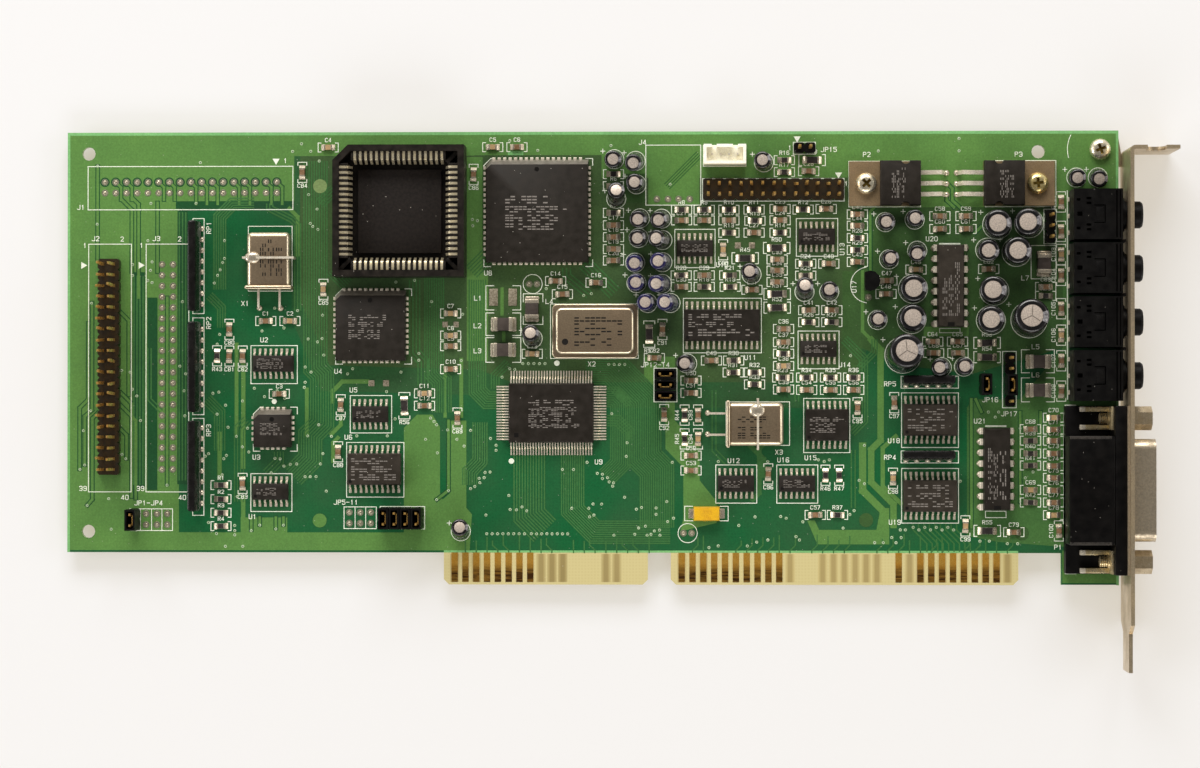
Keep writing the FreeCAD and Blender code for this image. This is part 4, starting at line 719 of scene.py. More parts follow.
via_places = [
    (7.1, 91.0), (7.0, 77.3), (31.4, 91.8), (19.7, 82.2), (30.4, 82.2), (37.1, 73.4), (37.1, 69.2),
    (36.7, 68.2), (36.1, 66.5), (35.5, 65.2), (34.7, 63.4), (19.0, 73.4), (20.0, 68.4), (19.6, 66.4),
    (19.0, 64.0), (20.0, 63.5), (15.4, 67.8), (15.4, 65.2), (27.2, 59.0), (5.7, 58.7), (57.4, 77.4),
    (58.0, 76.7), (57.0, 84.2), (59.0, 80.8), (59.2, 76.0), (55.3, 96.2), (57.5, 94.4), (59.5, 92.1),
    (53.2, 94.4), (49.0, 57.5), (46.0, 52.1), (51.2, 52.8), (56.9, 50.2), (59.1, 49.5), (60.2, 50.3),
    (60.3, 55.8), (54.4, 56.9), (36.0, 51.3), (35.4, 49.0), (95.7, 76.8), (95.6, 78.3), (96.8, 78.0),
    (93.3, 56.0), (86.0, 59.0), (82.0, 64.0), (77.6, 63.6), (104.4, 96.8), (111.0, 94.5), (128.2, 95.6),
    (150.2, 83.0), (209.8, 94.2), (209.8, 97.1), (190.9, 94.2), (142.1, 86.5), (44.2, 38.6), (46.6, 36.6),
    (51.4, 36.2), (49.6, 38.0), (34.4, 37.4), (35.8, 37.7), (37.4, 34.6), (35.4, 32.5), (41.4, 35.6),
    (38.0, 29.4), (40.0, 27.3), (42.6, 29.2), (41.4, 24.8), (42.9, 23.6), (37.0, 22.0), (37.6, 22.8),
    (33.4, 23.2), (32.6, 22.6), (36.6, 18.2), (49.1, 22.1), (50.3, 22.0), (51.2, 20.3), (52.7, 20.7),
    (54.2, 20.8), (48.2, 18.7), (40.2, 13.1), (39.6, 6.3), (39.6, 5.1), (39.6, 4.1), (35.3, 4.4),
    (33.4, 7.0), (41.5, 1.4), (37.4, 1.4), (43.5, 5.1), (45.5, 6.4), (49.3, 5.5), (51.1, 6.4), (10.4, 5.4),
    (9.8, 12.6), (4.7, 11.0), (3.0, 19.5), (4.1, 20.5), (3.8, 28.6), (5.5, 33.3), (12.8, 42.8),
    (14.8, 42.4), (15.4, 38.4), (16.4, 36.8), (17.3, 31.0), (12.9, 23.0), (13.8, 22.0), (23.6, 15.8),
    (27.6, 38.0), (27.8, 32.1), (28.0, 42.0), (26.6, 43.8), (60.6, 46.4), (56.2, 43.6), (57.6, 42.4),
    (56.2, 40.0), (56.0, 38.8), (59.4, 30.0), (56.8, 27.4), (60.4, 23.2), (59.8, 20.8), (56.2, 17.8),
    (57.4, 17.8), (58.8, 17.8), (61.2, 14.4), (62.4, 27.3), (83.0, 46.8), (83.0, 45.2), (78.8, 42.4),
    (66.2, 42.0), (67.4, 43.2), (68.4, 27.4), (75.6, 27.4), (75.4, 37.8), (77.4, 31.4), (85.8, 31.6),
    (86.6, 30.8), (87.2, 30.0), (89.8, 28.8), (92.0, 26.6), (84.6, 26.6), (93.7, 25.0), (87.4, 23.4),
    (90.0, 14.5), (87.2, 12.4), (93.0, 45.1), (95.2, 28.7), (99.9, 26.8), (101.2, 25.2), (101.2, 24.0),
    (98.6, 18.8), (99.8, 18.9), (98.4, 17.6), (97.2, 17.4), (97.4, 16.4), (96.2, 15.5), (95.2, 15.0),
    (98.8, 8.8), (104.5, 10.1), (106.0, 10.0), (107.3, 10.7), (108.4, 9.8), (104.2, 13.4), (104.4, 43.2),
    (105.6, 43.0), (102.6, 41.2), (116.8, 19.5), (119.4, 19.5), (123.6, 25.4), (122.6, 21.2), (128.4, 32.6),
    (132.0, 25.8), (131.8, 22.6), (126.2, 18.4), (126.2, 17.4), (127.4, 17.6), (127.8, 16.6), (128.8, 16.4),
    (128.6, 15.6), (125.0, 18.6), (131.4, 13.0), (119.0, 10.4), (123.0, 10.4), (124.0, 11.4), (126.0, 11.4),
    (123.2, 8.4), (124.2, 8.8), (128.9, 4.1), (133.8, 4.3), (136.7, 4.1), (137.6, 4.3), (139.7, 4.1),
    (138.4, 5.1), (139.6, 5.3), (134.7, 5.8), (136.3, 6.2), (134.2, 10.2), (135.4, 10.6), (138.8, 10.5),
    (138.8, 9.0), (141.5, 7.3), (142.9, 8.1), (141.3, 12.0), (142.6, 21.2), (158.2, 6.4), (162.0, 8.4),
    (168.0, 8.5), (169.3, 8.1), (173.2, 7.3), (182.6, 5.8), (171.6, 3.8), (172.4, 3.0), (165.0, 3.0),
    (162.4, 2.5), (160.2, 1.6), (153.4, 1.6), (151.2, 1.2), (184.2, 9.0), (185.2, 9.9), (186.4, 17.0),
    (187.6, 16.2), (187.6, 25.2), (190.0, 2.4), (192.0, 2.4), (195.0, 2.4), (194.0, 3.6), (196.2, 3.6),
    (196.0, 5.4), (197.2, 5.4), (184.4, 46.2), (176.8, 21.8), (178.2, 21.4), (179.4, 21.8), (165.0, 21.4),
    (153.4, 21.4), (210.0, 16.8), (214.6, 2.8), (216.8, 2.8), (221.0, 2.2), (223.4, 2.2), (216.6, 33.0),
    (218.2, 31.8), (219.0, 33.0), (225.2, 17.6), (227.0, 19.0), (224.0, 29.2), (121.8, 60.4), (123.6, 60.8),
    (113.0, 62.0),
]
for first, pitch, count, v in (
    (99.0, 1.27, 8, 4.4), (109.5, 1.22, 8, 4.4), (107.5, 1.3, 5, 44.4), (127.7, 1.25, 4, 44.2),
):
    via_places += [(first + pitch * index, v) for index in range(count)]
via_places += [(199.0 + 1.35 * index, 6.0 - 0.6 * (index % 2)) for index in range(8)]
vias = bmesh.new()
on_both_faces(vias, via_ring, via_places)
add_piece("vias", vias, [via_mask, masks[GAP]], "board_laminate")
pad_places = drill_places + [(u, 67.78 - PITCH * index) for index in range(20) for u in (22.35, 24.95)]
pad_places += [(u, v) for u in (18.65, 21.2, 23.65) for v in (9.05, 6.46)]
pad_places += [(u, v) for u in (66.65, 69.2, 71.7) for v in (9.4, 6.85)]
pad_places += [(u, 83.0) for u in (139.0, 141.6, 144.1, 146.7)]
pad_places += [(109.0, 63.1), (110.8, 63.1), (145.2, 4.6), (147.15, 4.6), (188.6, 59.9)]
pads = bmesh.new()
on_both_faces(pads, pad_ring, pad_places)
for u, v, du, dv in (
    (100.6, 60.0, 2.0, 4.0), (105.1, 60.0, 2.0, 4.0), (158.0, 72.1, 1.4, 1.4), (161.3, 72.1, 1.4, 1.4),
    (71.85, 39.8, 1.4, 1.4), (75.3, 39.8, 1.4, 1.4), (89.2, 53.6, 1.2, 1.3), (91.8, 53.6, 1.2, 1.3),
):
    block(pads, u, v, 0.0, du, dv, 0.16, 0.07, 1)
add_piece("bare_pads", pads, [pad_tin, pad_bright], "lead_tin")

# Silkscreen: white epoxy ink squeegeed through a mesh, a little raised on the mask. It gives outlines, part
# numbers and pin marks, and a ring and a plus beside each can.
silk_ink = finish("silk_ink", (236, 240, 226), (222, 230, 208), 0.6, patch=900.0, grain=5000.0, bump=0.3)
silk = bmesh.new()
INK = 0.075
LETTER_STEP, LETTER_GAP = 6.2, 2.2
GLYPHS = {
    "0": "10 01 07 18 38 47 41 30 10", "1": "16 28 20", "2": "07 18 38 47 45 00 40", "4": "30 38 02 42",
    "3": "07 18 38 47 45 34 14,34 43 41 30 10 01", "5": "48 08 05 35 44 41 30 10 01", "7": "08 48 10",
    "6": "47 38 18 07 01 10 30 41 43 34 04", "8": "14 05 07 18 38 47 45 34 14 03 01 10 30 41 43 34",
    "9": "01 10 30 41 47 38 18 07 05 14 44", "C": "47 38 18 07 01 10 30 41",
    "R": "00 08 38 47 45 34 04,24 40",
    "U": "08 01 10 30 41 48", "J": "48 41 30 10 01", "P": "00 08 38 47 45 34 04", "L": "08 00 40",
    "X": "08 40,00 48", "-": "04 44",
}


def puck(bm, segments, radius, depth, matrix):
    """A flat disc, or a triangle where it has three segments. Returns its corners."""
    return bmesh.ops.create_cone(
        bm, cap_ends=True, segments=segments, radius1=radius * MM, radius2=radius * MM, depth=depth * MM,
        matrix=matrix,
    )["verts"]


def ink(points, width=0.18):
    line(silk, points, width, INK)


def label(text, u, v, height=1.02, turn=0.0):
    """Stroke letters centred at (u, v)."""
    unit = height / 8
    wide = 1.25 * unit
    length = (len(text) * LETTER_STEP - LETTER_GAP) * wide
    for place, letter in enumerate(text):
        for stroke in GLYPHS[letter].split(","):
            points = []
            for corner in stroke.split():
                x = (place * LETTER_STEP + int(corner[0])) * wide - length / 2
                y = (int(corner[1]) - 4) * unit
                turned_x = x * math.cos(turn) - y * math.sin(turn)
                turned_y = x * math.sin(turn) + y * math.cos(turn)
                points.append((u + turned_x, v + turned_y))
            ink(points, 0.06 + 0.1 * height)


def box_outline(u0, v0, u1, v1):
    ink([*oblong(u0, v0, u1, v1), (u0, v0)])


def brackets(u0, v0, u1, v1, arm, upright=False):
    """Two facing brackets at the ends of a part."""
    if upright:
        for end, back in ((v0, v0 + arm), (v1, v1 - arm)):
            ink([(u0, back), (u0, end), (u1, end), (u1, back)])
    else:
        for end, back in ((u0, u0 + arm), (u1, u1 - arm)):
            ink([(back, v0), (end, v0), (end, v1), (back, v1)])


def corner_marks(u0, v0, u1, v1, arm, cut):
    """Four corners round a square chip, with one cut for pin one."""
    for corner in (
        [(u0, v0 + arm), (u0, v0), (u0 + arm, v0)],
        [(u1 - arm, v0), (u1, v0), (u1, v0 + arm)],
        [(u1, v1 - arm), (u1, v1), (u1 - arm, v1)],
        [(u0, v1 - cut - arm / 2), (u0, v1 - cut), (u0 + cut, v1), (u0 + cut + arm / 2, v1)],
    ):
        ink(corner, 0.2)


def ink_ring(u, v, radius, start=0.0, end=2 * math.pi):
    steps = max(6, round(radius * (end - start) * 2.2))
    turns = [start + (end - start) * step / steps for step in range(steps + 1)]
    ink([(u + radius * math.cos(turn), v + radius * math.sin(turn)) for turn in turns], 0.16)


for outline in (
    (43.4, 9.6, 53.1, 18.5), (43.4, 39.7, 54.35, 48.65), (66.85, 28.1, 76.6, 36.9),
    (66.0, 13.0, 79.5, 25.85), (143.2, 66.9, 152.65, 75.9), (145.2, 46.9, 163.5, 59.7),
    (152.8, 11.65, 162.4, 20.6), (171.7, 69.55, 181.4, 78.4), (172.1, 43.15, 181.7, 52.0),
    (173.4, 23.5, 184.2, 36.2), (167.1, 11.65, 176.7, 20.6), (196.3, 24.7, 209.6, 37.5),
    (196.3, 7.0, 209.6, 19.8), (4.83, 80.7, 53.28, 90.9), (5.0, 14.2, 15.1, 72.6), (18.6, 14.2, 28.7, 72.6),
    (29.66, 56.2, 32.3, 78.6), (29.66, 32.4, 32.3, 55.2), (29.66, 8.7, 32.3, 31.5),
    (17.3, 5.1, 19.95, 10.2), (19.95, 5.1, 22.4, 10.2), (22.4, 5.1, 24.9, 10.2), (14.8, 5.1, 17.3, 10.2),
    (65.4, 5.6, 68.0, 10.7), (68.0, 5.6, 70.5, 10.7), (70.5, 5.6, 73.0, 10.7), (73.9, 5.5, 84.4, 10.8),
    (136.4, 81.6, 149.3, 95.7), (149.7, 82.5, 182.9, 87.8), (42.76, 61.5, 53.1, 76.76),
    (155.2, 25.2, 170.1, 35.4), (114.0, 45.6, 134.6, 58.4), (184.0, 81.1, 200.8, 91.8),
    (215.9, 81.1, 232.4, 91.9), (196.2, 21.1, 209.6, 23.9), (196.2, 38.6, 209.6, 41.4),
    (226.6, 64.2, 232.4, 72.0), (171.0, 93.5, 176.2, 96.3), (219.9, 34.0, 223.1, 47.2),
    (229.6, 72.4, 232.4, 80.5), (138.3, 35.4, 143.7, 43.3), (205.2, 51.6, 210.0, 52.6),
    (215.9, 8.3, 220.7, 9.8), (205.2, 72.3, 210.0, 72.5), (215.9, 29.6, 220.7, 29.8),
    (149.9, 90.7, 159.9, 95.6),
):
    box_outline(*outline)
for outline in ((98.3, 67.2, 123.9, 92.6), (63.4, 44.3, 81.3, 62.0), (44.0, 23.8, 54.35, 34.15)):
    corner_marks(*outline, 1.6, 1.6)
for outline in (
    (98.8, 57.0, 107.0, 62.7), (98.8, 51.0, 107.0, 56.3), (98.8, 44.7, 107.0, 50.5),
    (224.3, 42.2, 232.0, 47.6), (224.3, 35.4, 232.0, 41.0), (145.5, 7.5, 155.7, 10.9),
):
    brackets(*outline, 1.9)
brackets(107.6, 53.6, 112.2, 60.8, 1.9, True)
ink([(235.07, 36.0), (235.07, 84.8)], 0.24)
ink([(237.0, 34.6), (234.5, 34.6), (234.5, -4.8), (237.0, -4.8)], 0.24)
ink_ring(242.7, 94.5, 7.6, 2.68, 3.4)
ink_ring(188.6, 62.8, 4.2, 1.7, 4.6)
for u, v in ((109.8, 63.1), (146.2, 4.6)):
    ink_ring(u, v, 2.25)
for u, v, turn in (
    (3.7, 67.6, 0.0), (17.3, 67.6, 0.0), (49.3, 92.2, -math.pi / 2), (171.9, 97.2, -math.pi / 2),
    (181.6, 88.7, -math.pi / 2),
):
    puck(silk, 3, 0.95, INK, standing(u, v, INK / 2, turn - math.pi / 2))
for u, v, radius in ((104.8, 21.5, 0.65), (48.9, 35.5, 0.6), (115.5, 44.5, 0.65)):
    dot(silk, u, v, radius, INK)
for text, u, v in (
    ("U1", 43.8, 8.4), ("U2", 46.5, 50.0), ("U3", 44.7, 22.4), ("U4", 64.0, 42.6), ("U5", 67.6, 38.2),
    ("U6", 66.4, 27.1), ("U8", 99.3, 65.7), ("U9", 125.3, 21.3), ("U10", 154.3, 67.6), ("U11", 160.9, 45.8),
    ("U12", 157.0, 21.6), ("U14", 183.0, 44.1), ("U15", 175.0, 22.3), ("U16", 168.6, 21.8),
    ("U18", 194.5, 26.3), ("U19", 194.7, 7.2), ("U20", 203.4, 73.6), ("U21", 214.6, 30.9),
    ("X1", 42.0, 58.6), ("X2", 123.7, 44.3), ("X3", 167.6, 23.6), ("P1", 232.8, 1.4), ("P2", 188.2, 93.4),
    ("P3", 223.7, 93.4), ("J1", 3.1, 81.3), ("J2", 6.6, 73.9), ("J3", 21.0, 73.9), ("J4", 135.6, 96.4),
    ("L1", 96.9, 59.8), ("L2", 96.8, 53.3), ("L3", 96.8, 47.4), ("L4", 113.7, 59.0), ("RP4", 193.6, 22.4),
    ("RP5", 193.6, 39.6), ("JP1-JP4", 19.2, 11.6), ("JP5-11", 65.8, 11.8), ("JP12-14", 138.6, 44.1),
    ("JP15", 179.3, 94.6), ("JP16", 217.0, 35.9), ("JP17", 221.4, 32.6), ("2", 12.9, 73.8),
    ("2", 26.5, 73.8), ("39", 3.7, 15.0), ("40", 13.6, 12.9), ("39", 17.3, 15.0), ("40", 27.2, 12.9),
    ("1", 51.5, 92.2), ("L5", 227.6, 48.3), ("L6", 227.6, 41.7), ("L7", 225.2, 64.4), ("1", 183.4, 86.6),
    ("1", 170.2, 95.0), ("1", 4.1, 72.3), ("1", 17.5, 72.3),
):
    label(text, u, v)
for text, u, v in (
    ("RP1", 33.4, 76.4), ("RP2", 33.4, 54.0), ("RP3", 33.4, 28.7), ("U13", 182.4, 71.2),
    ("U17", 185.2, 62.4),
):
    label(text, u, v, turn=math.pi / 2)


def mark_part(text, u, v, reach, half, upright):
    """Brackets round a chip part, and its number: at its side in crowded columns, else above or below."""
    if upright:
        brackets(u - half, v - reach, u + half, v + reach, 0.7, True)
        crowded = u > 232 or 145 < u < 149
        if crowded:
            label(text, u - half - 0.75, v, 0.85, math.pi / 2)
        else:
            label(text, u, v - reach - 0.75, 0.85)
    else:
        brackets(u - reach, v - half, u + reach, v + half, 0.7)
        label(text, u, v + half + 0.7, 0.85)


def row(v, places):
    return [(u, v) for u in places]


def column(u, places):
    return [(u, v) for v in places]


capacitors_across = (
    row(54.45, (46.9, 52.6)) + [(50.1, 37.3)] + row(95.3, (61.6, 100.4, 106.1))
    + column(90.5, (56.2, 51.0, 48.5, 43.1)) + column(84.35, (37.4, 34.5))
    + [(109.7, 46.7), (115.2, 63.8), (116.8, 60.7), (124.7, 63.4)] + column(128.8, (76.9, 74.1, 71.3, 68.6))
    + row(78.0, (144.8, 150.1, 155.9, 167.9)) + row(80.65, (167.9, 178.7))
    + [(161.8, 75.1), (174.6, 89.5), (150.1, 65.1), (144.7, 62.4), (161.3, 61.7), (138.4, 45.7)]
    + column(167.2, (68.8, 66.2, 63.5)) + column(168.7, (52.5, 49.4, 43.8, 38.3)) + [(179.3, 67.8)]
    + row(56.9, (174.6, 180.0)) + column(186.0, (79.35, 76.7, 68.2))
    + [(199.7, 66.4), (192.9, 63.8), (192.7, 60.7)] + [(151.8, 45.1)]
    + column(147.0, (40.4, 37.5, 22.8, 19.3)) + row(38.2, (174.1, 179.7, 185.1)) + [(176.1, 8.9)]
    + row(78.9, (205.3, 211.4)) + row(75.9, (205.3, 211.4)) + [(216.7, 66.5), (230.0, 62.3)]
    + row(49.5, (203.6, 209.4)) + row(46.85, (203.8, 209.5)) + column(226.4, (29.0, 14.8))
    + column(231.8, (31.7, 28.9, 26.3, 23.3, 20.4, 17.6, 14.7, 11.85, 8.9)) + [(222.5, 4.9)]
)
capacitors_upright = (
    [(38.3, 52.5), (38.3, 46.2), (41.45, 46.2), (41.45, 16.2), (55.5, 89.45), (60.5, 61.9), (95.9, 88.9)]
    + [(64.6, 34.7)]
    + [(64.0, 23.65), (92.1, 31.6), (154.55, 71.1), (140.3, 52.4), (140.7, 32.4)]
    + column(148.65, (32.3, 26.7))
    + [(186.0, 34.0), (165.1, 18.5), (194.6, 35.2), (194.3, 17.5), (211.2, 6.35), (233.0, 5.2)]
    + column(233.6, (82.2, 75.3, 69.9, 65.0, 57.2, 51.0, 45.0, 37.9))
)
resistors_across = (
    column(36.35, (15.8, 12.5, 9.3, 6.15)) + column(128.8, (88.9, 86.1, 79.8))
    + row(80.5, (144.8, 150.1, 155.9, 161.8, 173.3)) + row(75.1, (155.9, 167.9)) + [(162.0, 77.9)]
    + column(168.9, (92.1, 89.3)) + row(62.4, (150.1, 156.2)) + row(65.1, (144.7, 156.1))
    + [(168.7, 46.7), (168.5, 41.1)] + column(173.9, (67.8, 65.0)) + row(54.1, (174.6, 180.0))
    + column(186.0, (73.8, 71.0)) + [(157.0, 45.1)] + row(42.3, (156.9, 161.9)) + [(161.9, 39.5)]
    + row(41.1, (174.1, 179.7, 185.1)) + [(181.3, 8.9), (230.0, 60.2)]
    + column(226.4, (26.3, 23.3, 20.5, 11.85))
)
resistors_upright = [(35.4, 46.25)] + column(145.5, (32.3, 26.7)) + row(18.2, (178.5, 181.7))
long_across = (
    [(175.4, 92.1), (159.7, 69.1), (167.1, 71.5)] + column(167.2, (60.7, 57.5))
    + column(216.3, (49.2, 45.85, 5.2))
)
long_upright = [(79.6, 34.5), (137.2, 51.3)]
can_groups = (
    ("mixer_electrolytics", "black", 4.0, 7.0,
     ((129.0, 92.4, -0.2, -0.5), (134.0, 92.0, -0.5, -1.0), (129.45, 83.1, 0.15, 1.7),
      (134.2, 86.5, -0.4, 0.1), (135.0, 78.5, -0.4, -0.6), (140.1, 78.4, -0.7, -0.7),
      (134.7, 73.9, -0.2, -0.4), (140.3, 73.4, -1.5, 0.1))),
    ("blue_electrolytics", "blue", 4.0, 7.0,
     ((133.9, 68.1, -0.1, -0.4), (140.3, 68.2, -1.0, 0.0), (134.2, 63.3, -0.1, -0.1),
      (140.2, 63.1, -1.4, -0.2), (136.8, 58.6, -0.5, 0.0), (142.2, 58.6, -1.4, 0.0))),
    ("supply_electrolytics", "black", 4.0, 7.0,
     ((164.1, 91.6, -0.5, 0.1), (161.2, 65.3, -0.6, 0.5), (173.6, 61.2, -0.1, 1.4),
      (179.4, 61.2, -0.2, 0.3), (146.1, 44.4, -0.6, 0.0), (92.9, 5.0, 0.2, 1.2), (109.8, 50.3, -0.25, 1.2))),
    ("output_electrolytics", "black", 4.0, 7.0,
     ((192.55, 77.55, -0.15, -0.3), (199.4, 78.1, -0.3, 0.0), (193.4, 68.8, 0.0, 0.0),
      (200.0, 70.8, -0.5, -1.0), (190.7, 54.6, -0.2, 0.05), (205.7, 43.5, -1.0, -0.1),
      (210.9, 43.65, -0.35, 0.0))),
    ("bracket_electrolytics", "black", 4.0, 7.0, ((237.2, 87.9, -0.5, -0.5), (242.2, 87.9, -0.5, -0.8))),
    ("short_electrolytic", "black", 5.0, 8.0, ((216.4, 71.0, -0.4, -0.5),)),
    ("medium_electrolytics", "black", 6.3, 9.0,
     ((199.0, 61.9, -0.4, -0.2), (198.7, 54.8, -0.3, 0.1), (218.7, 76.9, -0.65, -0.1),
      (226.1, 77.2, -1.1, -0.1), (223.2, 70.5, -0.5, 0.0), (218.0, 61.4, -1.1, 0.0),
      (217.2, 54.5, -0.75, 0.0))),
    ("large_electrolytics", "black", 8.0, 11.0, ((196.65, 46.35, 0.25, 0.9), (226.1, 54.6, -0.4, 0.7))),
)
for letter, groups in (
    ("C", ((capacitors_across, 2.37, 1.05, False), (capacitors_upright, 2.37, 1.05, True))),
    ("R", ((resistors_across, 2.37, 1.05, False), (resistors_upright, 2.37, 1.05, True),
           (long_across, 3.1, 1.3, False), (long_upright, 3.1, 1.3, True))),
):
    number = 0
    for places, reach, half, upright in groups:
        for u, v in places:
            number += 1
            mark_part("%s%d" % (letter, number), u, v, reach, half, upright)
for node, sleeve, diameter, height, places in can_groups:
    for u, v, lean_u, lean_v in places:
        radius = diameter / 2 + 0.25
        ink_ring(u, v, radius)
        x, y = u - radius - 0.45, v + radius * 0.85
        ink([(x - 0.5, y), (x + 0.5, y)], 0.17)
        ink([(x, y - 0.5), (x, y + 0.5)], 0.17)
add_piece("silkscreen", silk, [silk_ink], "board_laminate")

# Audio jacks: black moulded blocks with slots over the contact springs, a latch on top and tinned tabs
# soldered behind them. The round nose goes through the bracket, and thin ribs close the gaps in the row.
JACK_U, JACK_TOP, JACK_PITCH = 241.05, 11.0, 12.45
TAB_U, TAB_OFFSETS = 235.25, (-3.9, 0.0, 3.9)
LEVEL_TOLERANCE = 1e-7
jack_rows = [78.8 - JACK_PITCH * number for number in range(4)]
black_moulding = finish(
    "black_moulding", (6, 5, 5), (11, 10, 9), 0.48, patch=500.0, grain=5000.0, bump=0.3, shine=0.12,
    dust=0.25,
)
slot_dark = finish("slot_dark", (6, 5, 5), (10, 9, 8), 0.8, patch=900.0, shine=0.1)
lead_tin = finish("lead_tin", (238, 229, 210), (210, 199, 178), 0.32, 0.42, 900.0, 4000.0, 0.5, 0.2)


def cut_pocket(bm, u, v, z, du, dv, depth):
    """Sinks a rectangular pocket with a dark floor into a flat top face at height z."""
    low, high = at(u - du / 2, v - dv / 2, z), at(u + du / 2, v + dv / 2, z)
    for normal in ((1, 0, 0), (0, 1, 0)):
        for corner in (low, high):
            top = [face for face in bm.faces if abs(face.calc_center_median().z - low.z) < LEVEL_TOLERANCE]
            parts = {part for face in top for part in (face, *face.edges, *face.verts)}
            bmesh.ops.bisect_plane(bm, geom=list(parts), plane_co=corner, plane_no=normal, dist=1e-8)
    floor = []
    for face in bm.faces:
        centre = face.calc_center_median()
        level = abs(centre.z - low.z) < LEVEL_TOLERANCE
        if level and low.x < centre.x < high.x and low.y < centre.y < high.y:
            floor.append(face)
    bmesh.ops.inset_region(bm, faces=floor, thickness=0.02 * MM, depth=-depth * MM, use_even_offset=True)
    paint(floor, 1)


def lying(u, v, z):
    """Turns an upright template so that it points to the right."""
    return Matrix.Translation(at(u, v, z)) @ Matrix.Rotation(math.pi / 2, 4, "Y")


nose_profile = [
    (3.95, 0.0), (3.95, 0.75), (3.15, 0.8), (3.15, 4.5), (2.75, 5.0), (1.8, 5.0), (1.8, -9.0), (0.0, -9.0),
]
nose = spun((nose_profile, 32))
for number, v in enumerate(jack_rows, 1):
    jack = bmesh.new()
    block(jack, JACK_U, v, 0, 11.3, 11.7, JACK_TOP)
    for offset_u, offset_v, du, dv in (
        (-4.6, 3.3, 0.9, 0.6), (-4.6, -3.3, 0.9, 0.6), (-4.3, 0.0, 1.2, 1.0),
        (-2.2, 3.6, 1.1, 0.55), (-2.2, 2.5, 1.1, 0.55), (-2.2, -2.5, 1.1, 0.55), (-2.2, -3.6, 1.1, 0.55),
        (0.2, 2.0, 2.4, 0.25), (0.2, -2.0, 2.4, 0.25), (1.5, 0.0, 0.25, 4.2),
        (4.2, 0.0, 0.35, 11.0), (5.0, 0.0, 0.25, 11.0),
    ):
        cut_pocket(jack, JACK_U + offset_u, v + offset_v, JACK_TOP, du, dv, 0.8)
    block(jack, 241.3, v, 10.9, 1.6, 3.0, 0.18, 0.05)
    stamp(jack, nose, lying(246.7, v, 5.6))
    for offset in TAB_OFFSETS:
        block(jack, TAB_U, v + offset, 0.0, 0.3, 1.0, 1.8, 0.05, 2)
    node = "audio_jack_%d" % number
    add_piece(node, jack, [black_moulding, slot_dark, lead_tin], "black_moulding", node)
jack_ribs = bmesh.new()
for upper, lower in zip(jack_rows, jack_rows[1:]):
    block(jack_ribs, 246.8, (upper + lower) / 2, 0.05, 1.2, 0.7, 10.45)
add_piece("jack_ribs", jack_ribs, [black_moulding], "black_moulding")

# Game port: a moulded housing with a wide flange, a drawn and tinned D-shaped shell, a contact block,
# two hexagonal posts and two sheet clips whose prongs are soldered through the board.
PORT_V, PORT_PITCH = 14.9, 2.77
port_tin = finish("port_tin", (204, 190, 166), (164, 152, 132), 0.4, 0.9, 700.0, 2600.0, 0.5, 0.3)
clip_bronze = finish("clip_bronze", (228, 212, 172), (196, 176, 132), 0.32, 0.8, 900.0, 4000.0, 0.5)
housing_black = finish(
    "housing_black", (6, 5, 5), (11, 9, 8), 0.4, patch=500.0, grain=5000.0, bump=0.3, shine=0.12, dust=0.25
)
housing_edge = finish("housing_edge", (62, 58, 54), (46, 43, 40), 0.4, shine=0.3)
post_nickel = finish("post_nickel", (210, 194, 164), (178, 160, 130), 0.32, 0.85, 600.0, 4000.0)
housing = bmesh.new()
block(housing, 239.35, PORT_V, 0, 10.5, 25.2, 12.85, 0.35)
block(housing, 239.35, PORT_V, 0, 10.5, 39.1, 4.0, 0.25)
block(housing, 246.0, PORT_V, 0.35, 2.8, 39.1, 12.5, 0.3)
for side in (-1, 1):
    block(housing, 239.0, PORT_V + side * 12.2, 12.8, 9.6, 0.7, 0.05, 0.02, 1)
add_piece("game_port_housing", housing, [housing_black, housing_edge], "black_moulding", "game_port_housing")
dress("game_port_shell", port_tin)
dress("game_port_insulator", black_moulding)
dress("jack_posts", post_nickel)
barrel_profile = [(0.0, 0.0), (0.9, 0.0)]
for ring in range(4):
    foot = 0.15 + ring * 0.45
    barrel_profile += [(1.25, foot), (1.25, foot + 0.2), (1.0, foot + 0.3)]
barrel_profile += [(1.5, 2.0), (1.5, 2.6), (0.0, 2.6)]
barrel = spun((barrel_profile, 20))
clips = bmesh.new()
for side in (-1, 1):
    v = PORT_V + side * 16.66
    block(clips, 244.3, v, 4.0, 0.55, 5.4, 6.2, 0.08)
    for prong in (-2.1, 2.1):
        block(clips, 240.8, v + prong, 4.0, 7.0, 1.2, 1.2, 0.2)
        block(clips, 238.0, v + prong, 4.3, 1.4, 1.2, 1.0, 0.2, 1)
    stamp(clips, barrel, lying(241.7, v, 5.7))
add_piece("board_clips", clips, [clip_bronze, lead_tin], "pin_gold", "board_clips")

# Headers: glass-filled bases, notched between the ways so that they can be snapped to length, with
# square gold-flashed pins pressed through them. No two pins stand quite straight any more.
HEADER_BASE, PIN_SIDE, PIN_LEAN = 2.5, 0.64, 0.02
HALF_PITCHES = (-PITCH / 2, PITCH / 2)
header_brown = finish(
    "header_brown", (46, 36, 20), (30, 25, 17), 0.4, patch=700.0, grain=5000.0, bump=0.3, shine=0.3
)
pin_gold = finish("pin_gold", (240, 198, 118), (220, 170, 88), 0.3, 0.8, 900.0, 5000.0)
joint_places = []


def stood(bm, dx, dy, dz, bevel=0.0):
    """A box that stands on the origin."""
    cube(bm, dx, dy, dz, Matrix.Translation((0, 0, dz / 2 * MM)), 0, bevel)


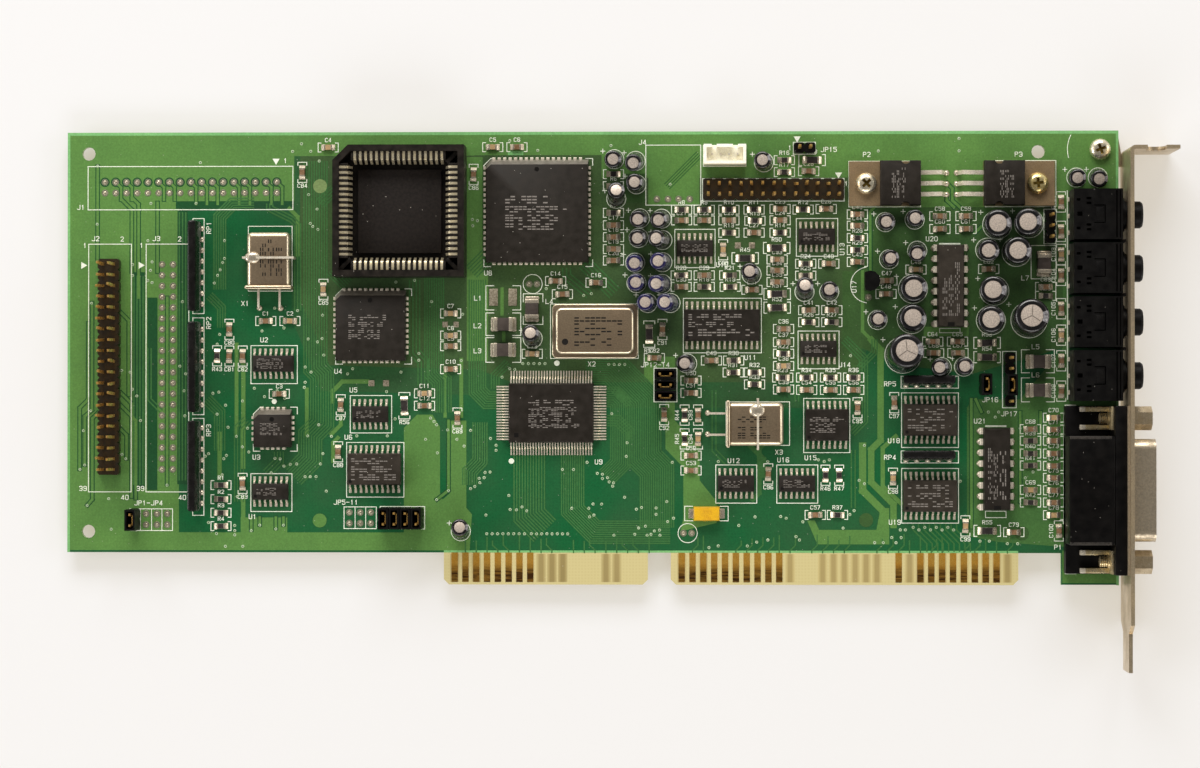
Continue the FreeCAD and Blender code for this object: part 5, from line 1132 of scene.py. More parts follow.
def pin_mesh(length):
    """A square pin with a tapered tip."""
    bm = bmesh.new()
    stood(bm, PIN_SIDE, PIN_SIDE, length)
    tip = [face for face in bm.faces if face.normal.z > 0.9]
    bmesh.ops.inset_region(bm, faces=tip, thickness=0.16 * MM, depth=0.0)
    shoulder = [vert for vert in bm.verts if vert.co.z > length * 0.9 * MM and vert not in tip[0].verts]
    bmesh.ops.translate(bm, verts=shoulder, vec=(0, 0, -0.45 * MM))
    return template(bm)


def way_mesh(du, dv):
    """One way of a header base: a block with its four upright corners cut."""
    bm = bmesh.new()
    stood(bm, du, dv, HEADER_BASE)
    corners = [edge for edge in bm.edges if abs(edge.verts[0].co.z - edge.verts[1].co.z) > MM]
    round_edges(bm, corners, 0.45)
    return template(bm)


def stepped(u, v, along, step, side=0.0):
    """The place a step along a row that runs along u or v, and so far to its side."""
    return (u + side, v + step) if along == "v" else (u + step, v + side)


def laid(along, length, width):
    """The two sides of something that lies along u or v."""
    return (width, length) if along == "v" else (length, width)


for node, u, v, ways, along, top in (
    ("drive_header", 10.07, 43.65, 20, "v", 10.5), ("feature_header", 166.3, 85.15, 13, "u", 8.6),
):
    base = bmesh.new()
    pins = bmesh.new()
    way = way_mesh(*laid(along, PITCH, 2 * PITCH))
    shank = pin_mesh(top - HEADER_BASE)
    for step in spread(ways, PITCH):
        stamp(base, way, standing(*stepped(u, v, along, step)))
        for side in HALF_PITCHES:
            place = stepped(u, v, along, step, side)
            lean_x = Matrix.Rotation(random.gauss(0.0, PIN_LEAN), 4, "X")
            lean_y = Matrix.Rotation(random.gauss(0.0, PIN_LEAN), 4, "Y")
            stamp(pins, shank, standing(*place, 2.4) @ lean_x @ lean_y)
            joint_places.append(place)
    add_piece(node + "_base", base, [header_brown], "black_moulding", node + "_base")
    add_piece(node + "_pins", pins, [pin_gold], "pin_gold", node + "_pins")

# Jumpers: short pin strips in black bases, soldered through the board. Push-on caps with a folded bronze
# spring inside bridge two pins each, and two strips have no cap.
CAP_LENGTH, CAP_WIDTH, CAP_HEIGHT, CAP_WALLS = 4.9, 2.4, 6.0, 0.9
jumper_bases = bmesh.new()
jumper_pins = bmesh.new()
jumper_caps = bmesh.new()
jumper_pin = pin_mesh(6.1)
for u, v, count, along, caps in (
    (16.1, 7.77, 2, "v", (0.5,)), (75.3, 8.13, 2, "v", (0.5,)), (77.85, 8.13, 2, "v", (0.5,)),
    (80.4, 8.13, 2, "v", (0.5,)), (82.95, 8.13, 2, "v", (0.5,)), (141.0, 41.9, 2, "u", (0.5,)),
    (141.0, 39.35, 2, "u", (0.5,)), (141.0, 36.8, 2, "u", (0.5,)), (173.6, 94.9, 2, "u", ()),
    (215.6, 39.5, 2, "v", (0.5,)), (221.5, 40.6, 5, "v", (1.5,)), (230.95, 76.45, 3, "v", ()),
):
    way = way_mesh(*laid(along, PITCH, CAP_WIDTH))
    for step in spread(count, PITCH):
        place = stepped(u, v, along, step)
        stamp(jumper_bases, way, standing(*place))
        stamp(jumper_pins, jumper_pin, standing(*place, HEADER_BASE))
        joint_places.append(place)
    for position in caps:
        middle = stepped(u, v, along, (position - (count - 1) / 2) * PITCH)
        cap = bmesh.new()
        du, dv = laid(along, CAP_LENGTH, CAP_WIDTH)
        block(cap, *middle, HEADER_BASE, du, dv, CAP_HEIGHT)
        cut_pocket(cap, *middle, HEADER_BASE + CAP_HEIGHT, du - CAP_WALLS, dv - CAP_WALLS, 4.5)
        for end in HALF_PITCHES:
            block(cap, *stepped(*middle, along, end), 4.2, 0.5, 0.5, 3.6, 0.08, 2)
        spring = stepped(*middle, along, 0.0, -0.5 if along == "u" else 0.5)
        block(cap, *spring, 4.2, *laid(along, PITCH, 0.28), 3.4, 0.05, 2)
        stamp(jumper_caps, template(cap), Matrix())
add_piece("jumper_bases", jumper_bases, [black_moulding], "black_moulding", "jumper_bases")
add_piece("jumper_pins", jumper_pins, [pin_gold], "pin_gold", "jumper_pins")
add_piece("jumper_caps", jumper_caps, [black_moulding, slot_dark, pin_gold], "black_moulding", "jumper_caps")

# Audio socket: moulded from white nylon, which lets a little light in. It is open at the top, with two key
# slots, and four tinned pins go through its floor into the board.
AUDIO_SOCKET_V = 93.2
white_nylon = finish("white_nylon", (250, 245, 226), (245, 239, 216), 0.4, patch=400.0, bump=0.1)
nylon_sockets = white_nylon.node_tree.nodes["Principled BSDF"].inputs
nylon_sockets["Subsurface Weight"].default_value = 0.35
nylon_sockets["Subsurface Scale"].default_value = 1.5 * MM
nylon_sockets["Subsurface Radius"].default_value = (1.0, 1.0, 1.0)
dress("audio_socket", white_nylon)
dress("audio_socket_pins", lead_tin)
nylon_floor = bmesh.new()
block(nylon_floor, 154.9, AUDIO_SOCKET_V, 1.0, 8.6, 3.3, 3.2, 0.1)
add_piece("audio_socket_floor", nylon_floor, [white_nylon], "white_nylon")
joint_places += [(151.9 + 2.0 * index, AUDIO_SOCKET_V) for index in range(4)]

# Chip socket: a moulded frame around an empty seat, with a comb of ribs that part the sprung blades. The
# blades are stamped from sheet and tinned, and their tails are soldered in two staggered rows.
SOCKET_U, SOCKET_V = 78.85, 79.95
LEAD_PITCH = 1.27
QUARTER_TURNS = [quarter * math.pi / 2 for quarter in range(4)]
socket_black = finish(
    "socket_black", (21, 18, 15), (32, 27, 22), 0.45, patch=600.0, grain=5000.0, bump=0.3, shine=0.2,
    dust=0.5,
)
socket_floor = finish(
    "socket_floor", (33, 28, 25), (24, 20, 18), 0.6, patch=1500.0, grain=5000.0, bump=0.4, shine=0.15,
    dust=0.7,
)
blade_tin = finish("blade_tin", (244, 232, 200), (222, 206, 168), 0.32, 0.8, 900.0, 4000.0)
dress("chip_socket", socket_black)
socket_seat = bmesh.new()
block(socket_seat, SOCKET_U, SOCKET_V, 2.9, 19.6, 19.6, 1.6, 0.15, 1)
for offset in spread(18, LEAD_PITCH):
    for side in (-12.8, 12.8):
        block(socket_seat, SOCKET_U + offset, SOCKET_V + side, 3.0, 0.5, 2.1, 5.6, 0.05)
        block(socket_seat, SOCKET_U + side, SOCKET_V + offset, 3.0, 2.1, 0.5, 5.6, 0.05)
for side_u, side_v in ((-1, -1), (1, -1), (1, 1)):
    u, v = SOCKET_U + side_u * 12.5, SOCKET_V + side_v * 12.5
    block(socket_seat, u, v, 3.0, 3.6, 1.0, 4.6, 0.1, 0, side_u * side_v * math.pi / 4)
add_piece("chip_socket_seat", socket_seat, [socket_black, socket_floor], "black_moulding")


def extruded(bm, points, z, height):
    """An upright prism over an outline of (x, y) points, from z up."""
    pulled(bm, [sheet_of(bm, points, z)], height)


def lead_mesh(profile, width):
    """A formed strip: its side view in (x, z) points, as wide as given along y."""
    bm = bmesh.new()
    extruded(bm, profile, -width / 2, width)
    bmesh.ops.rotate(bm, verts=bm.verts, cent=(0, 0, 0), matrix=Matrix.Rotation(math.pi / 2, 3, "X"))
    return template(bm)


def beside(u, v, turn, offset):
    """A place in the row of leads on one side of a part, counted from the row's middle."""
    return standing(u, v, 0.0, turn) @ Matrix.Translation((0, offset * MM, 0))


blade_profile = [
    (13.8, 3.0), (13.8, 8.5), (12.4, 8.5), (11.75, 8.25), (11.45, 7.4), (10.9, 6.0), (10.9, 5.7),
    (11.7, 6.6), (12.3, 7.6), (12.8, 7.6), (12.8, 3.0),
]
blade = lead_mesh(blade_profile, 0.6)
blades = bmesh.new()
for index, offset in enumerate(spread(17, LEAD_PITCH)):
    for turn in QUARTER_TURNS:
        stamp(blades, blade, beside(SOCKET_U, SOCKET_V, turn, offset))
        tail = Matrix.Rotation(turn, 2) @ Vector((13.97 - PITCH * (index % 2), offset))
        joint_places.append((SOCKET_U + tail.x, SOCKET_V + tail.y))
add_piece("chip_socket_blades", blades, [blade_tin], "lead_tin", "chip_socket_blades")

# Surface chips: epoxy bodies moulded in two halves, with a pin-one mark and a printed face. Formed leads,
# tinned and soldered down: wings on the two-row and flat chips, hooks under the square carriers.
MARK, PRINT, CHAMFER_HIGHLIGHT = 1, 2, 3
STANDOFF, PRINT_DEPTH, ROW_STEP = 0.2, 0.012, 1.45
DASH_LEVELS = ((-0.42, 0.42), (-0.42, 0.0, 0.42), (-0.42, 0.0), (0.0, 0.42), (0.0,))
DASH_STEPS = (0.74, 0.74, 0.74, 0.74, 1.5)
LONG_SIDES = (math.pi / 2, -math.pi / 2)
chip_epoxy = finish(
    "chip_epoxy", (29, 25, 20), (36, 31, 26), 0.5, patch=500.0, grain=6000.0, bump=0.35, shine=0.2, dust=0.5
)
pale_epoxy = finish(
    "pale_epoxy", (43, 38, 32), (52, 46, 39), 0.5, patch=500.0, grain=6000.0, bump=0.35, shine=0.2, dust=0.5
)
chip_mark = finish("chip_mark", (20, 18, 16), (15, 13, 12), 0.4, patch=900.0, shine=0.2)
# A paler epoxy for the far chamfer of the square carriers: a painted highlight.
chip_chamfer = finish(
    "chip_chamfer", (112, 106, 96), (96, 90, 80), 0.4, patch=500.0, grain=6000.0, bump=0.35, shine=0.3
)
chip_print = finish(
    "chip_print", (132, 126, 120), (108, 102, 96), 0.6, patch=2500.0, grain=6000.0, shine=0.2
)


def moulded_mesh(du, dv, dz, inset, chamfer=0.0, corner=0.0):
    """A chip's body: two drafted halves; a chamfer along the far edge and a cut corner mark pin one."""
    bm = bmesh.new()
    x, y = du / 2, dv / 2
    middle = dz / 2 * MM
    pin_one = [(-x + corner, y), (-x, y - corner)] if corner else [(-x, y)]
    extruded(bm, [(-x, -y), (x, -y), (x, y), *pin_one], 0.0, dz)
    everything = [*bm.verts, *bm.edges, *bm.faces]
    bmesh.ops.bisect_plane(bm, geom=everything, plane_co=(0, 0, middle), plane_no=(0, 0, 1))
    for vert in bm.verts:
        if abs(vert.co.z - middle) > middle / 2:
            vert.co.x *= 1 - 2 * inset / du
            vert.co.y *= 1 - 2 * inset / dv
            if chamfer and vert.co.z > middle and vert.co.y > 0:
                vert.co.y -= chamfer * MM
    round_edges(bm, list(bm.edges), 0.07)
    bmesh.ops.recalc_face_normals(bm, faces=bm.faces)
    # The chamfer's faces take the paler epoxy: a painted highlight.
    if chamfer:
        paint([face for face in bm.faces if face.normal.y > 0.5 and face.normal.z > 0.2], CHAMFER_HIGHLIGHT)
    return template(bm)


def print_rows(bm, u, v, z, length, rows, material, upright=False):
    """Rows of plain stacked dashes where a chip carries its print."""
    for number, height in enumerate(rows):
        across = (sum(rows[:number]) + height / 2 - sum(rows) / 2) * ROW_STEP
        along = -length / 2
        stop = length * random.uniform(0.2, 0.5)
        while along < stop:
            ends = [along, along + 0.48 * height]
            for level in random.choice(DASH_LEVELS):
                off = across + level * height
                points = [(u - off, v + end) if upright else (u + end, v - off) for end in ends]
                line(bm, points, 0.19 * height, z + PRINT_DEPTH, material, z - 0.01)
            along += random.choice(DASH_STEPS) * height


def wing(body, toe, height, sheet):
    """The side view of a gull-wing lead."""
    knee = body + (toe - body) * 0.3
    heel = body + (toe - body) * 0.52
    return [
        (body - 0.2, height), (knee, height), (heel, sheet), (toe, sheet), (toe, 0.0), (heel - sheet, 0.0),
        (knee - sheet * 0.6, height - sheet), (body - 0.2, height - sheet),
    ]


def hook(body):
    """The side view of a lead that goes down from the body and curls under it."""
    bends = (
        (-0.2, 2.5), (0.3, 2.5), (0.5, 2.3), (0.42, 0.4), (0.1, 0.02), (-0.4, 0.02), (-0.4, 0.22),
        (0.05, 0.22), (0.2, 0.45), (0.28, 2.1), (0.2, 2.25), (-0.2, 2.25),
    )
    return [(body + out, height) for out, height in bends]


chip_leads = bmesh.new()
lead_pad = bmesh.new()
stood(lead_pad, 0.9, 0.6, 0.12, 0.05)
lead_pad = template(lead_pad)


def two_row_chip(bm, u, v, length, width, height, leads, toe, rows):
    """A chip with wings along its two long sides, its print and its mark for pin one."""
    top = STANDOFF + height
    stamp(bm, moulded_mesh(length, width, height, 0.22), standing(u, v, STANDOFF))
    lead = lead_mesh(wing(width / 2, toe, STANDOFF + height * 0.55, 0.2), 0.45)
    for offset in spread(leads, LEAD_PITCH):
        for turn in LONG_SIDES:
            place = standing(u + offset, v, 0.0, turn)
            stamp(chip_leads, lead, place)
            stamp(chip_leads, lead_pad, place @ Matrix.Translation(((toe - 0.15) * MM, 0, 0)))
    print_rows(bm, u, v, top, length - 2.4, rows, PRINT)
    block(bm, u - length / 2 + 0.9, v - width / 2 + 0.9, top, 0.7, 0.7, PRINT_DEPTH, 0.0, MARK)


logic = bmesh.new()
for u, v in (
    (48.1, 14.3), (71.6, 32.5), (147.9, 71.4), (157.5, 16.25), (176.45, 74.1), (176.8, 47.8),
    (171.8, 16.25),
):
    two_row_chip(logic, u, v, 8.65, 3.9, 1.5, 7, 3.25, (0.7, 0.7))
two_row_chip(logic, 48.75, 44.4, 9.9, 3.9, 1.5, 8, 3.25, (0.6, 0.6, 0.6))
add_piece("logic_chips", logic, [chip_epoxy, chip_mark, chip_print], "chip_epoxy", "logic_chips")
for node, epoxy, length, leads, rows, places in (
    ("buffer_chips", pale_epoxy, 12.8, 10, (1.3, 1.3, 1.3), ((72.6, 19.6), (202.9, 31.2), (202.9, 13.4))),
    ("codec_chip", chip_epoxy, 17.9, 14, (1.3, 1.1, 1.5), ((154.25, 53.35),)),
    ("converter_chip", chip_epoxy, 10.3, 8, (0.9, 0.9, 0.9), ((178.8, 30.0),)),
):
    wide_chips = bmesh.new()
    for u, v in places:
        two_row_chip(wide_chips, u, v, length, 7.5, 2.4, leads, 5.3, rows)
    add_piece(node, wide_chips, [epoxy, chip_mark, chip_print], "chip_epoxy", node)

PACK_U, PACK_V, PACK_TOP = 114.2, 32.8, 2.9
flat_pack = bmesh.new()
stamp(flat_pack, moulded_mesh(20.0, 14.0, 2.7, 0.25), standing(PACK_U, PACK_V, STANDOFF))
print_rows(flat_pack, 115.0, 32.6, PACK_TOP, 12.0, (1.2, 0.9, 0.9, 0.9, 0.9), PRINT)
block(flat_pack, 106.1, 27.6, PACK_TOP, 1.0, 1.0, PRINT_DEPTH, 0.0, MARK)
for count, half, turns in ((30, 7.0, LONG_SIDES), (20, 10.0, (0.0, math.pi))):
    lead = lead_mesh(wing(half, half + 2.9, 1.5, 0.18), 0.32)
    for offset in spread(count, 0.65):
        for turn in turns:
            stamp(chip_leads, lead, beside(PACK_U, PACK_V, turn, offset))
add_piece("bus_chip", flat_pack, [chip_epoxy, chip_mark, chip_print], "chip_epoxy", "bus_chip")

CARRIER_HEIGHT = 4.2
CARRIER_TOP = STANDOFF + CARRIER_HEIGHT
for node, u, v, size, leads, rows in (
    ("mixer_chip", 110.95, 80.1, 24.2, 17, (1.7, 1.4, 1.4, 1.4)),
    ("controller_chip", 71.9, 53.3, 16.6, 11, (1.2, 1.0, 1.0, 1.0)),
    ("decoder_chip", 48.85, 29.2, 9.0, 5, (0.7, 0.7, 0.7)),
):
    carrier = bmesh.new()
    stamp(carrier, moulded_mesh(size, size, CARRIER_HEIGHT, 0.2, 1.0, 1.3), standing(u, v, STANDOFF))
    print_rows(carrier, u, v - size * 0.02, CARRIER_TOP, size * 0.6, rows, PRINT)
    mark = puck(carrier, 16, 0.55, PRINT_DEPTH, standing(u, v + size / 2 - 2.4, CARRIER_TOP))
    paint(solid_of(mark)[0], MARK)
    lead = lead_mesh(hook(size / 2), 0.72)
    for offset in spread(leads, LEAD_PITCH):
        for turn in QUARTER_TURNS:
            stamp(chip_leads, lead, beside(u, v, turn, offset))
    add_piece(node, carrier, [chip_epoxy, chip_mark, chip_print, chip_chamfer], "chip_epoxy", node)
add_piece("chip_leads", chip_leads, [lead_tin], "lead_tin")

# Two-row chips through the board: moulded epoxy bodies with a dark mark at the pin-one end, standing on leads
# that are wide at the shoulder and narrow where they enter the holes.
THROUGH_TOP = 4.2
through_leads = bmesh.new()
top_joints = []
shoulder_profile = [
    (3.0, 2.55), (3.75, 2.55), (3.96, 2.35), (3.96, 0.9), (3.66, 0.9), (3.66, 2.25), (3.0, 2.25),
]
shoulder = lead_mesh(shoulder_profile, 1.5)
leg = lead_mesh([(3.66, 0.9), (3.96, 0.9), (3.96, 0.0), (3.66, 0.0)], 0.6)
for node, u, v, rows, epoxy in (
    ("amplifier_chip", 207.6, 62.5, (1.0, 1.0, 1.0), pale_epoxy),
    ("timer_chip", 218.3, 19.7, (1.4, 0.9, 0.9), chip_epoxy),
):
    body = bmesh.new()
    stamp(body, moulded_mesh(6.4, 19.3, 3.3, 0.3), standing(u, v, 0.9))
    print_rows(body, u, v - 1.0, THROUGH_TOP, 12.0, rows, PRINT, True)
    block(body, u, v - 9.0, THROUGH_TOP, 1.6, 0.9, PRINT_DEPTH, 0.0, MARK)
    add_piece(node, body, [epoxy, chip_mark, chip_print], "chip_epoxy", node)
    for offset in spread(8, PITCH):
        for turn in (0.0, math.pi):
            place = beside(u, v, turn, offset)
            stamp(through_leads, shoulder, place)
            stamp(through_leads, leg, place)
            hole = (u + math.cos(turn) * 1.5 * PITCH, v + offset)
            joint_places.append(hole)
            top_joints.append(hole)
add_piece("two_row_chip_leads", through_leads, [lead_tin], "lead_tin", "two_row_chip_leads")

# Regulators: a stamped copper-alloy plate under the screw, a moulded body on it with notches in its long
# sides, and three flat leads bent down into the board.
REGULATOR_V, SCREW_TO_BODY = 86.5, 7.9
regulator_copper = finish("regulator_copper", (180, 154, 118), (150, 128, 98), 0.45, 0.8, 400.0, 3500.0, 0.5)
dress("regulator_plate_1", regulator_copper)
dress("regulator_plate_2", regulator_copper)
dress("regulator_leads", lead_tin)
regulator_holes = [(u, REGULATOR_V + side * PITCH) for u in (206.9, 209.2) for side in (-1, 0, 1)]
top_joints += regulator_holes
joint_places += regulator_holes
x, y = 4.7, 5.2
notch = [(math.cos(step * math.pi / 8), 0.8 * math.sin(step * math.pi / 8)) for step in range(9)]
outline = [(-x, -y)] + [(1.2 - along, deep - y) for along, deep in notch] + [(x, -y), (x, y)]
outline += [(1.2 + along, y - deep) for along, deep in notch] + [(-x, y)]
for number, screw_u, direction in ((1, 188.0, 1), (2, 228.0, -1)):
    body_u = screw_u + direction * SCREW_TO_BODY
    body = bmesh.new()
    extruded(body, [(direction * across, up) for across, up in outline], 1.3, 3.2)
    rim = [edge for edge in body.edges if all(vert.co.z > 4 * MM for vert in edge.verts)]
    round_edges(body, rim, 0.2, 2)
    bmesh.ops.translate(body, verts=body.verts, vec=at(body_u, REGULATOR_V))
    print_rows(body, body_u - direction * 0.5, REGULATOR_V, 4.5, 7.0, (0.8, 0.8, 0.8), PRINT, True)
    node = "regulator_body_%d" % number
    add_piece(node, body, [chip_epoxy, chip_mark, chip_print], "chip_epoxy", node)

# Transistor: a small black epoxy moulding with one flat side. It stands on three tinned legs that are
# soldered through the board.
dress("transistor", black_moulding)
dress("transistor_leads", lead_tin)
joint_places += [(188.7, 63.6 + side * 1.27) for side in (-1, 0, 1)]

# Electrolytic capacitors: rolled foil in an aluminium can, in a shrunk sleeve that curls over the shoulder
# and leaves the lid bare. A pale stripe marks the minus side. They are fitted by hand, so most lean.
STRIPE, LID, SCORE_SHADE = 1, 2, 3
sleeves = {
    "black": finish("sleeve_black", (11, 10, 11), (18, 16, 18), 0.26, patch=500.0, coat=0.3),
    "blue": finish("sleeve_blue", (23, 20, 58), (31, 27, 70), 0.26, patch=500.0, coat=0.3),
}
sleeve_stripe = finish("sleeve_stripe", (150, 148, 150), (70, 68, 72), 0.35, patch=1600.0, coat=0.2)
can_lid = finish("can_lid", (224, 210, 196), (186, 172, 160), 0.44, 0.7, 2600.0, 4500.0, 0.5, 0.5)
# The vent's scored lines are darker strips on the lid: painted shade in the grooves.
lid_score = finish("lid_score", (122, 112, 102), (104, 96, 88), 0.5, 0.8, 1500.0)


def can_mesh(diameter, height, scored):
    """A can at the origin: its sleeve with the stripe, its lid, and a scored vent where it has one, drawn as
    three dark strips of painted shade.
    """
    radius = diameter / 2
    rim = radius * 0.66
    bm = bmesh.new()
    sleeve_profile = [
        (0.0, 0.0), (radius * 0.9, 0.0), (radius, 0.25), (radius, 0.9), (radius * 0.93, 1.2), (radius, 1.5),
        (radius, height - radius * 0.22), (radius * 0.97, height - radius * 0.1),
        (radius * 0.9, height - radius * 0.03), (radius * 0.8, height), (rim, height),
        (rim * 0.98, height - 0.12),
    ]
    for face in turned(bm, sleeve_profile, 32):
        centre = face.calc_center_median()
        in_stripe = abs(math.atan2(centre.y, centre.x)) < 0.4
        if in_stripe and centre.z > 1.5 * MM and centre.xy.length > rim * MM:
            face.material_index = STRIPE
    lid_profile = [
        (rim * 0.99, height - 0.25), (rim * 0.97, height - 0.1), (rim * 0.9, height - 0.08),
        (0.0, height - 0.08),
    ]
    turned(bm, lid_profile, 24, LID)
    if scored:
        for arm in range(3):
            turn = Matrix.Rotation(math.radians(90 + 120 * arm), 4, "Z")
            out = Matrix.Translation((rim * 0.45 * MM, 0, (height - 0.07) * MM))
            cube(bm, rim * 0.86, 0.16, 0.03, turn @ out, SCORE_SHADE)
    return template(bm)


def leaning(u, v, lean_u, lean_v, diameter, height, turn):
    """Stands a can on the edge of its foot, with its top pushed aside by the two leans."""
    axis = Vector((lean_u, lean_v, height)).normalized()
    lift = math.hypot(axis.x, axis.y) * diameter / 2
    tilt = Vector((0, 0, 1)).rotation_difference(axis).to_matrix().to_4x4()
    return Matrix.Translation(at(u, v, lift)) @ tilt @ Matrix.Rotation(turn, 4, "Z")


for node, sleeve, diameter, height, places in can_groups:
    cans = bmesh.new()
    can = can_mesh(diameter, height, diameter > 7)
    for u, v, lean_u, lean_v in places:
        stamp(cans, can, leaning(u, v, lean_u, lean_v, diameter, height, random.uniform(-0.35, 0.35)))
        joint_places += [(u - diameter * 0.2, v), (u + diameter * 0.2, v)]
    add_piece(node, cans, [sleeves[sleeve], sleeve_stripe, can_lid, lid_score], "can_" + sleeve, node)

# Chip capacitors and resistors: fired ceramic bricks with tinned ends, glued by machine and soldered to
# two pads each. Capacitors are bare and brown or tan; resistors have a dark glazed face on white ceramic.
GLAZE, METAL = 1, 2
TAN_SHARE, CHIP_SKEW = 0.22, 0.04
chip_brown = finish("chip_brown", (112, 84, 58), (136, 106, 76), 0.45, patch=900.0)
chip_tan = finish("chip_tan", (178, 150, 106), (160, 130, 92), 0.45, patch=900.0)
chip_glaze = finish("chip_glaze", (38, 34, 32), (50, 44, 42), 0.35, patch=900.0)
chip_ceramic = finish("chip_ceramic", (214, 208, 196), (196, 190, 178), 0.5, patch=900.0)
solder = finish("solder", (220, 209, 188), (180, 168, 148), 0.32, 0.8, 1200.0, 3500.0, 0.5, 0.35)


def brick_mesh(length, width, height, glazed):
    """A chip part at the origin: body, metal ends, and a sloped solder fillet at each end."""
    bm = bmesh.new()

    def slab(x, z, dx, dy, dz, material, bevel=0.0):
        return cube(bm, dx, dy, dz, Matrix.Translation((x * MM, 0, (z + dz / 2) * MM)), material, bevel)

    slab(0, 0.05, length - 0.2, width - 0.06, height - 0.07, 0, 0.05)
    if glazed:
        slab(0, height - 0.03, length - 0.75, width - 0.1, 0.035, GLAZE)
    for side in (-1, 1):
        slab(side * (length / 2 - 0.2), 0.03, 0.42, width, height - 0.02, METAL, 0.05)
        fillet = slab(side * (length / 2 + 0.3), 0.0, 0.75, width + 0.15, height * 0.7, METAL)
        for vert in fillet:
            if vert.co.z > height * 0.4 * MM and abs(vert.co.x) > (length / 2 + 0.3) * MM:
                vert.co.z = 0.1 * MM
                vert.co.x -= side * 0.1 * MM
    return template(bm)


def placed(u, v, turn):
    """Where the machine sets a chip down, never quite square."""
    return standing(u, v, 0.0, turn + random.uniform(-CHIP_SKEW, CHIP_SKEW))


brown_chips, tan_chips, resistors = bmesh.new(), bmesh.new(), bmesh.new()
capacitor_brick = brick_mesh(2.0, 1.25, 0.85, False)
for places, turn in ((capacitors_across, 0.0), (capacitors_upright, math.pi / 2)):
    for u, v in places:
        chips = tan_chips if random.random() < TAN_SHARE else brown_chips
        stamp(chips, capacitor_brick, placed(u, v, turn))
short_brick = brick_mesh(2.0, 1.25, 0.55, True)
long_brick = brick_mesh(3.2, 1.6, 0.6, True)
for places, turn, brick in (
    (resistors_across, 0.0, short_brick), (resistors_upright, math.pi / 2, short_brick),
    (long_across, 0.0, long_brick), (long_upright, math.pi / 2, long_brick),
):
    for u, v in places:
        stamp(resistors, brick, placed(u, v, turn))
add_piece("chip_capacitors_brown", brown_chips, [chip_brown, chip_glaze, solder], "lead_tin")
add_piece("chip_capacitors_tan", tan_chips, [chip_tan, chip_glaze, solder], "lead_tin")
add_piece("chip_resistors", resistors, [chip_ceramic, chip_glaze, solder], "lead_tin")

# Chip inductors: ferrite blocks with wide tinned ends, set down by machine. Thick feet of solder hold the
# ends to the board.
inductor_block = finish(
    "inductor_block", (70, 62, 57), (58, 51, 46), 0.5, patch=700.0, grain=5000.0, shine=0.25
)
inductors = bmesh.new()
for u, v, along in (
    (103.0, 53.6, "u"), (102.9, 47.6, "u"), (228.2, 44.8, "u"), (228.2, 38.1, "u"),
    (109.7, 57.2, "v"), (229.5, 67.7, "v"),
):
    block(inductors, u, v, 0.05, *laid(along, 4.3, 3.0), 2.9, 0.12)
    for side in (-1, 1):
        block(inductors, *stepped(u, v, along, side * 1.75), 0.0, *laid(along, 1.15, 3.3), 3.0, 0.3, 1)
        block(inductors, *stepped(u, v, along, side * 2.5), 0.0, *laid(along, 1.1, 3.4), 0.9, 0.4, 1)
add_piece("chip_inductors", inductors, [inductor_block, solder], "inductor_block", "chip_inductors")

# Tantalum capacitor: a yellow epoxy moulding with faint rows of print. Its tinned terminals are folded under
# its ends and soldered down.
TANTALUM_U, TANTALUM_V = 150.65, 9.2
tantalum_yellow = finish("tantalum_yellow", (218, 170, 28), (208, 158, 20), 0.4, patch=600.0, grain=5000.0)
tantalum_print = finish("tantalum_print", (206, 148, 16), (190, 134, 14), 0.5)
tantalum = bmesh.new()
stamp(tantalum, moulded_mesh(6.2, 3.4, 2.6, 0.2), standing(TANTALUM_U, TANTALUM_V))
print_rows(tantalum, 150.9, TANTALUM_V, 2.6, 3.4, (0.5, 0.5, 0.5), PRINT, True)
for side in (-1, 1):
    block(tantalum, TANTALUM_U + side * 3.6, TANTALUM_V, 0.0, 1.3, 2.3, 0.3, 0.1, 1)
    block(tantalum, TANTALUM_U + side * 3.05, TANTALUM_V, 0.0, 0.3, 2.1, 1.2, 0.05, 1)
tantalum_skins = [tantalum_yellow, solder, tantalum_print]
add_piece("tantalum_capacitor", tantalum, tantalum_skins, "tantalum_yellow", "tantalum_capacitor")

# Resistor networks: a ceramic strip dipped in black resin, upright on a row of tinned legs. They are
# soldered through the board, and all lean a little to one side.
network_coating = finish(
    "network_coating", (12, 11, 10), (20, 18, 17), 0.26, patch=500.0, grain=3000.0, coat=0.25, shine=0.3
)
networks = bmesh.new()
for u, v, length, count, along, turn, lean, joint_side in (
    (31.0, 67.3, 21.3, 8, "v", 0.0, -0.13, 0.75), (31.0, 43.6, 21.3, 8, "v", 0.0, -0.13, 0.75),
    (31.0, 20.4, 21.3, 8, "v", 0.0, -0.13, 0.75), (202.4, 40.0, 12.3, 5, "u", math.pi / 2, 0.1, -0.75),
    (202.4, 22.5, 12.3, 5, "u", math.pi / 2, 0.1, -0.75),
):
    strip = bmesh.new()
    cube(strip, 2.0, length, 5.8, Matrix.Translation((0, 0, 3.5 * MM)), 0, 0.6, 2)
    tilt = Matrix(((1, 0, lean, 0), (0, 1, 0, 0), (0, 0, 1, 0), (0, 0, 0, 1)))
    stamp(networks, template(strip), standing(u, v, 0.0, turn) @ tilt)
    for step in spread(count, PITCH):
        place = stepped(u, v, along, step)
        block(networks, *place, 0.0, 0.5, 0.5, 1.2, 0.0, 1)
        joint_places.append(place)
        top_joints.append(stepped(*place, along, 0.0, joint_side))
add_piece("resistor_networks", networks, [network_coating, lead_tin], "network_coating", "resistor_networks")

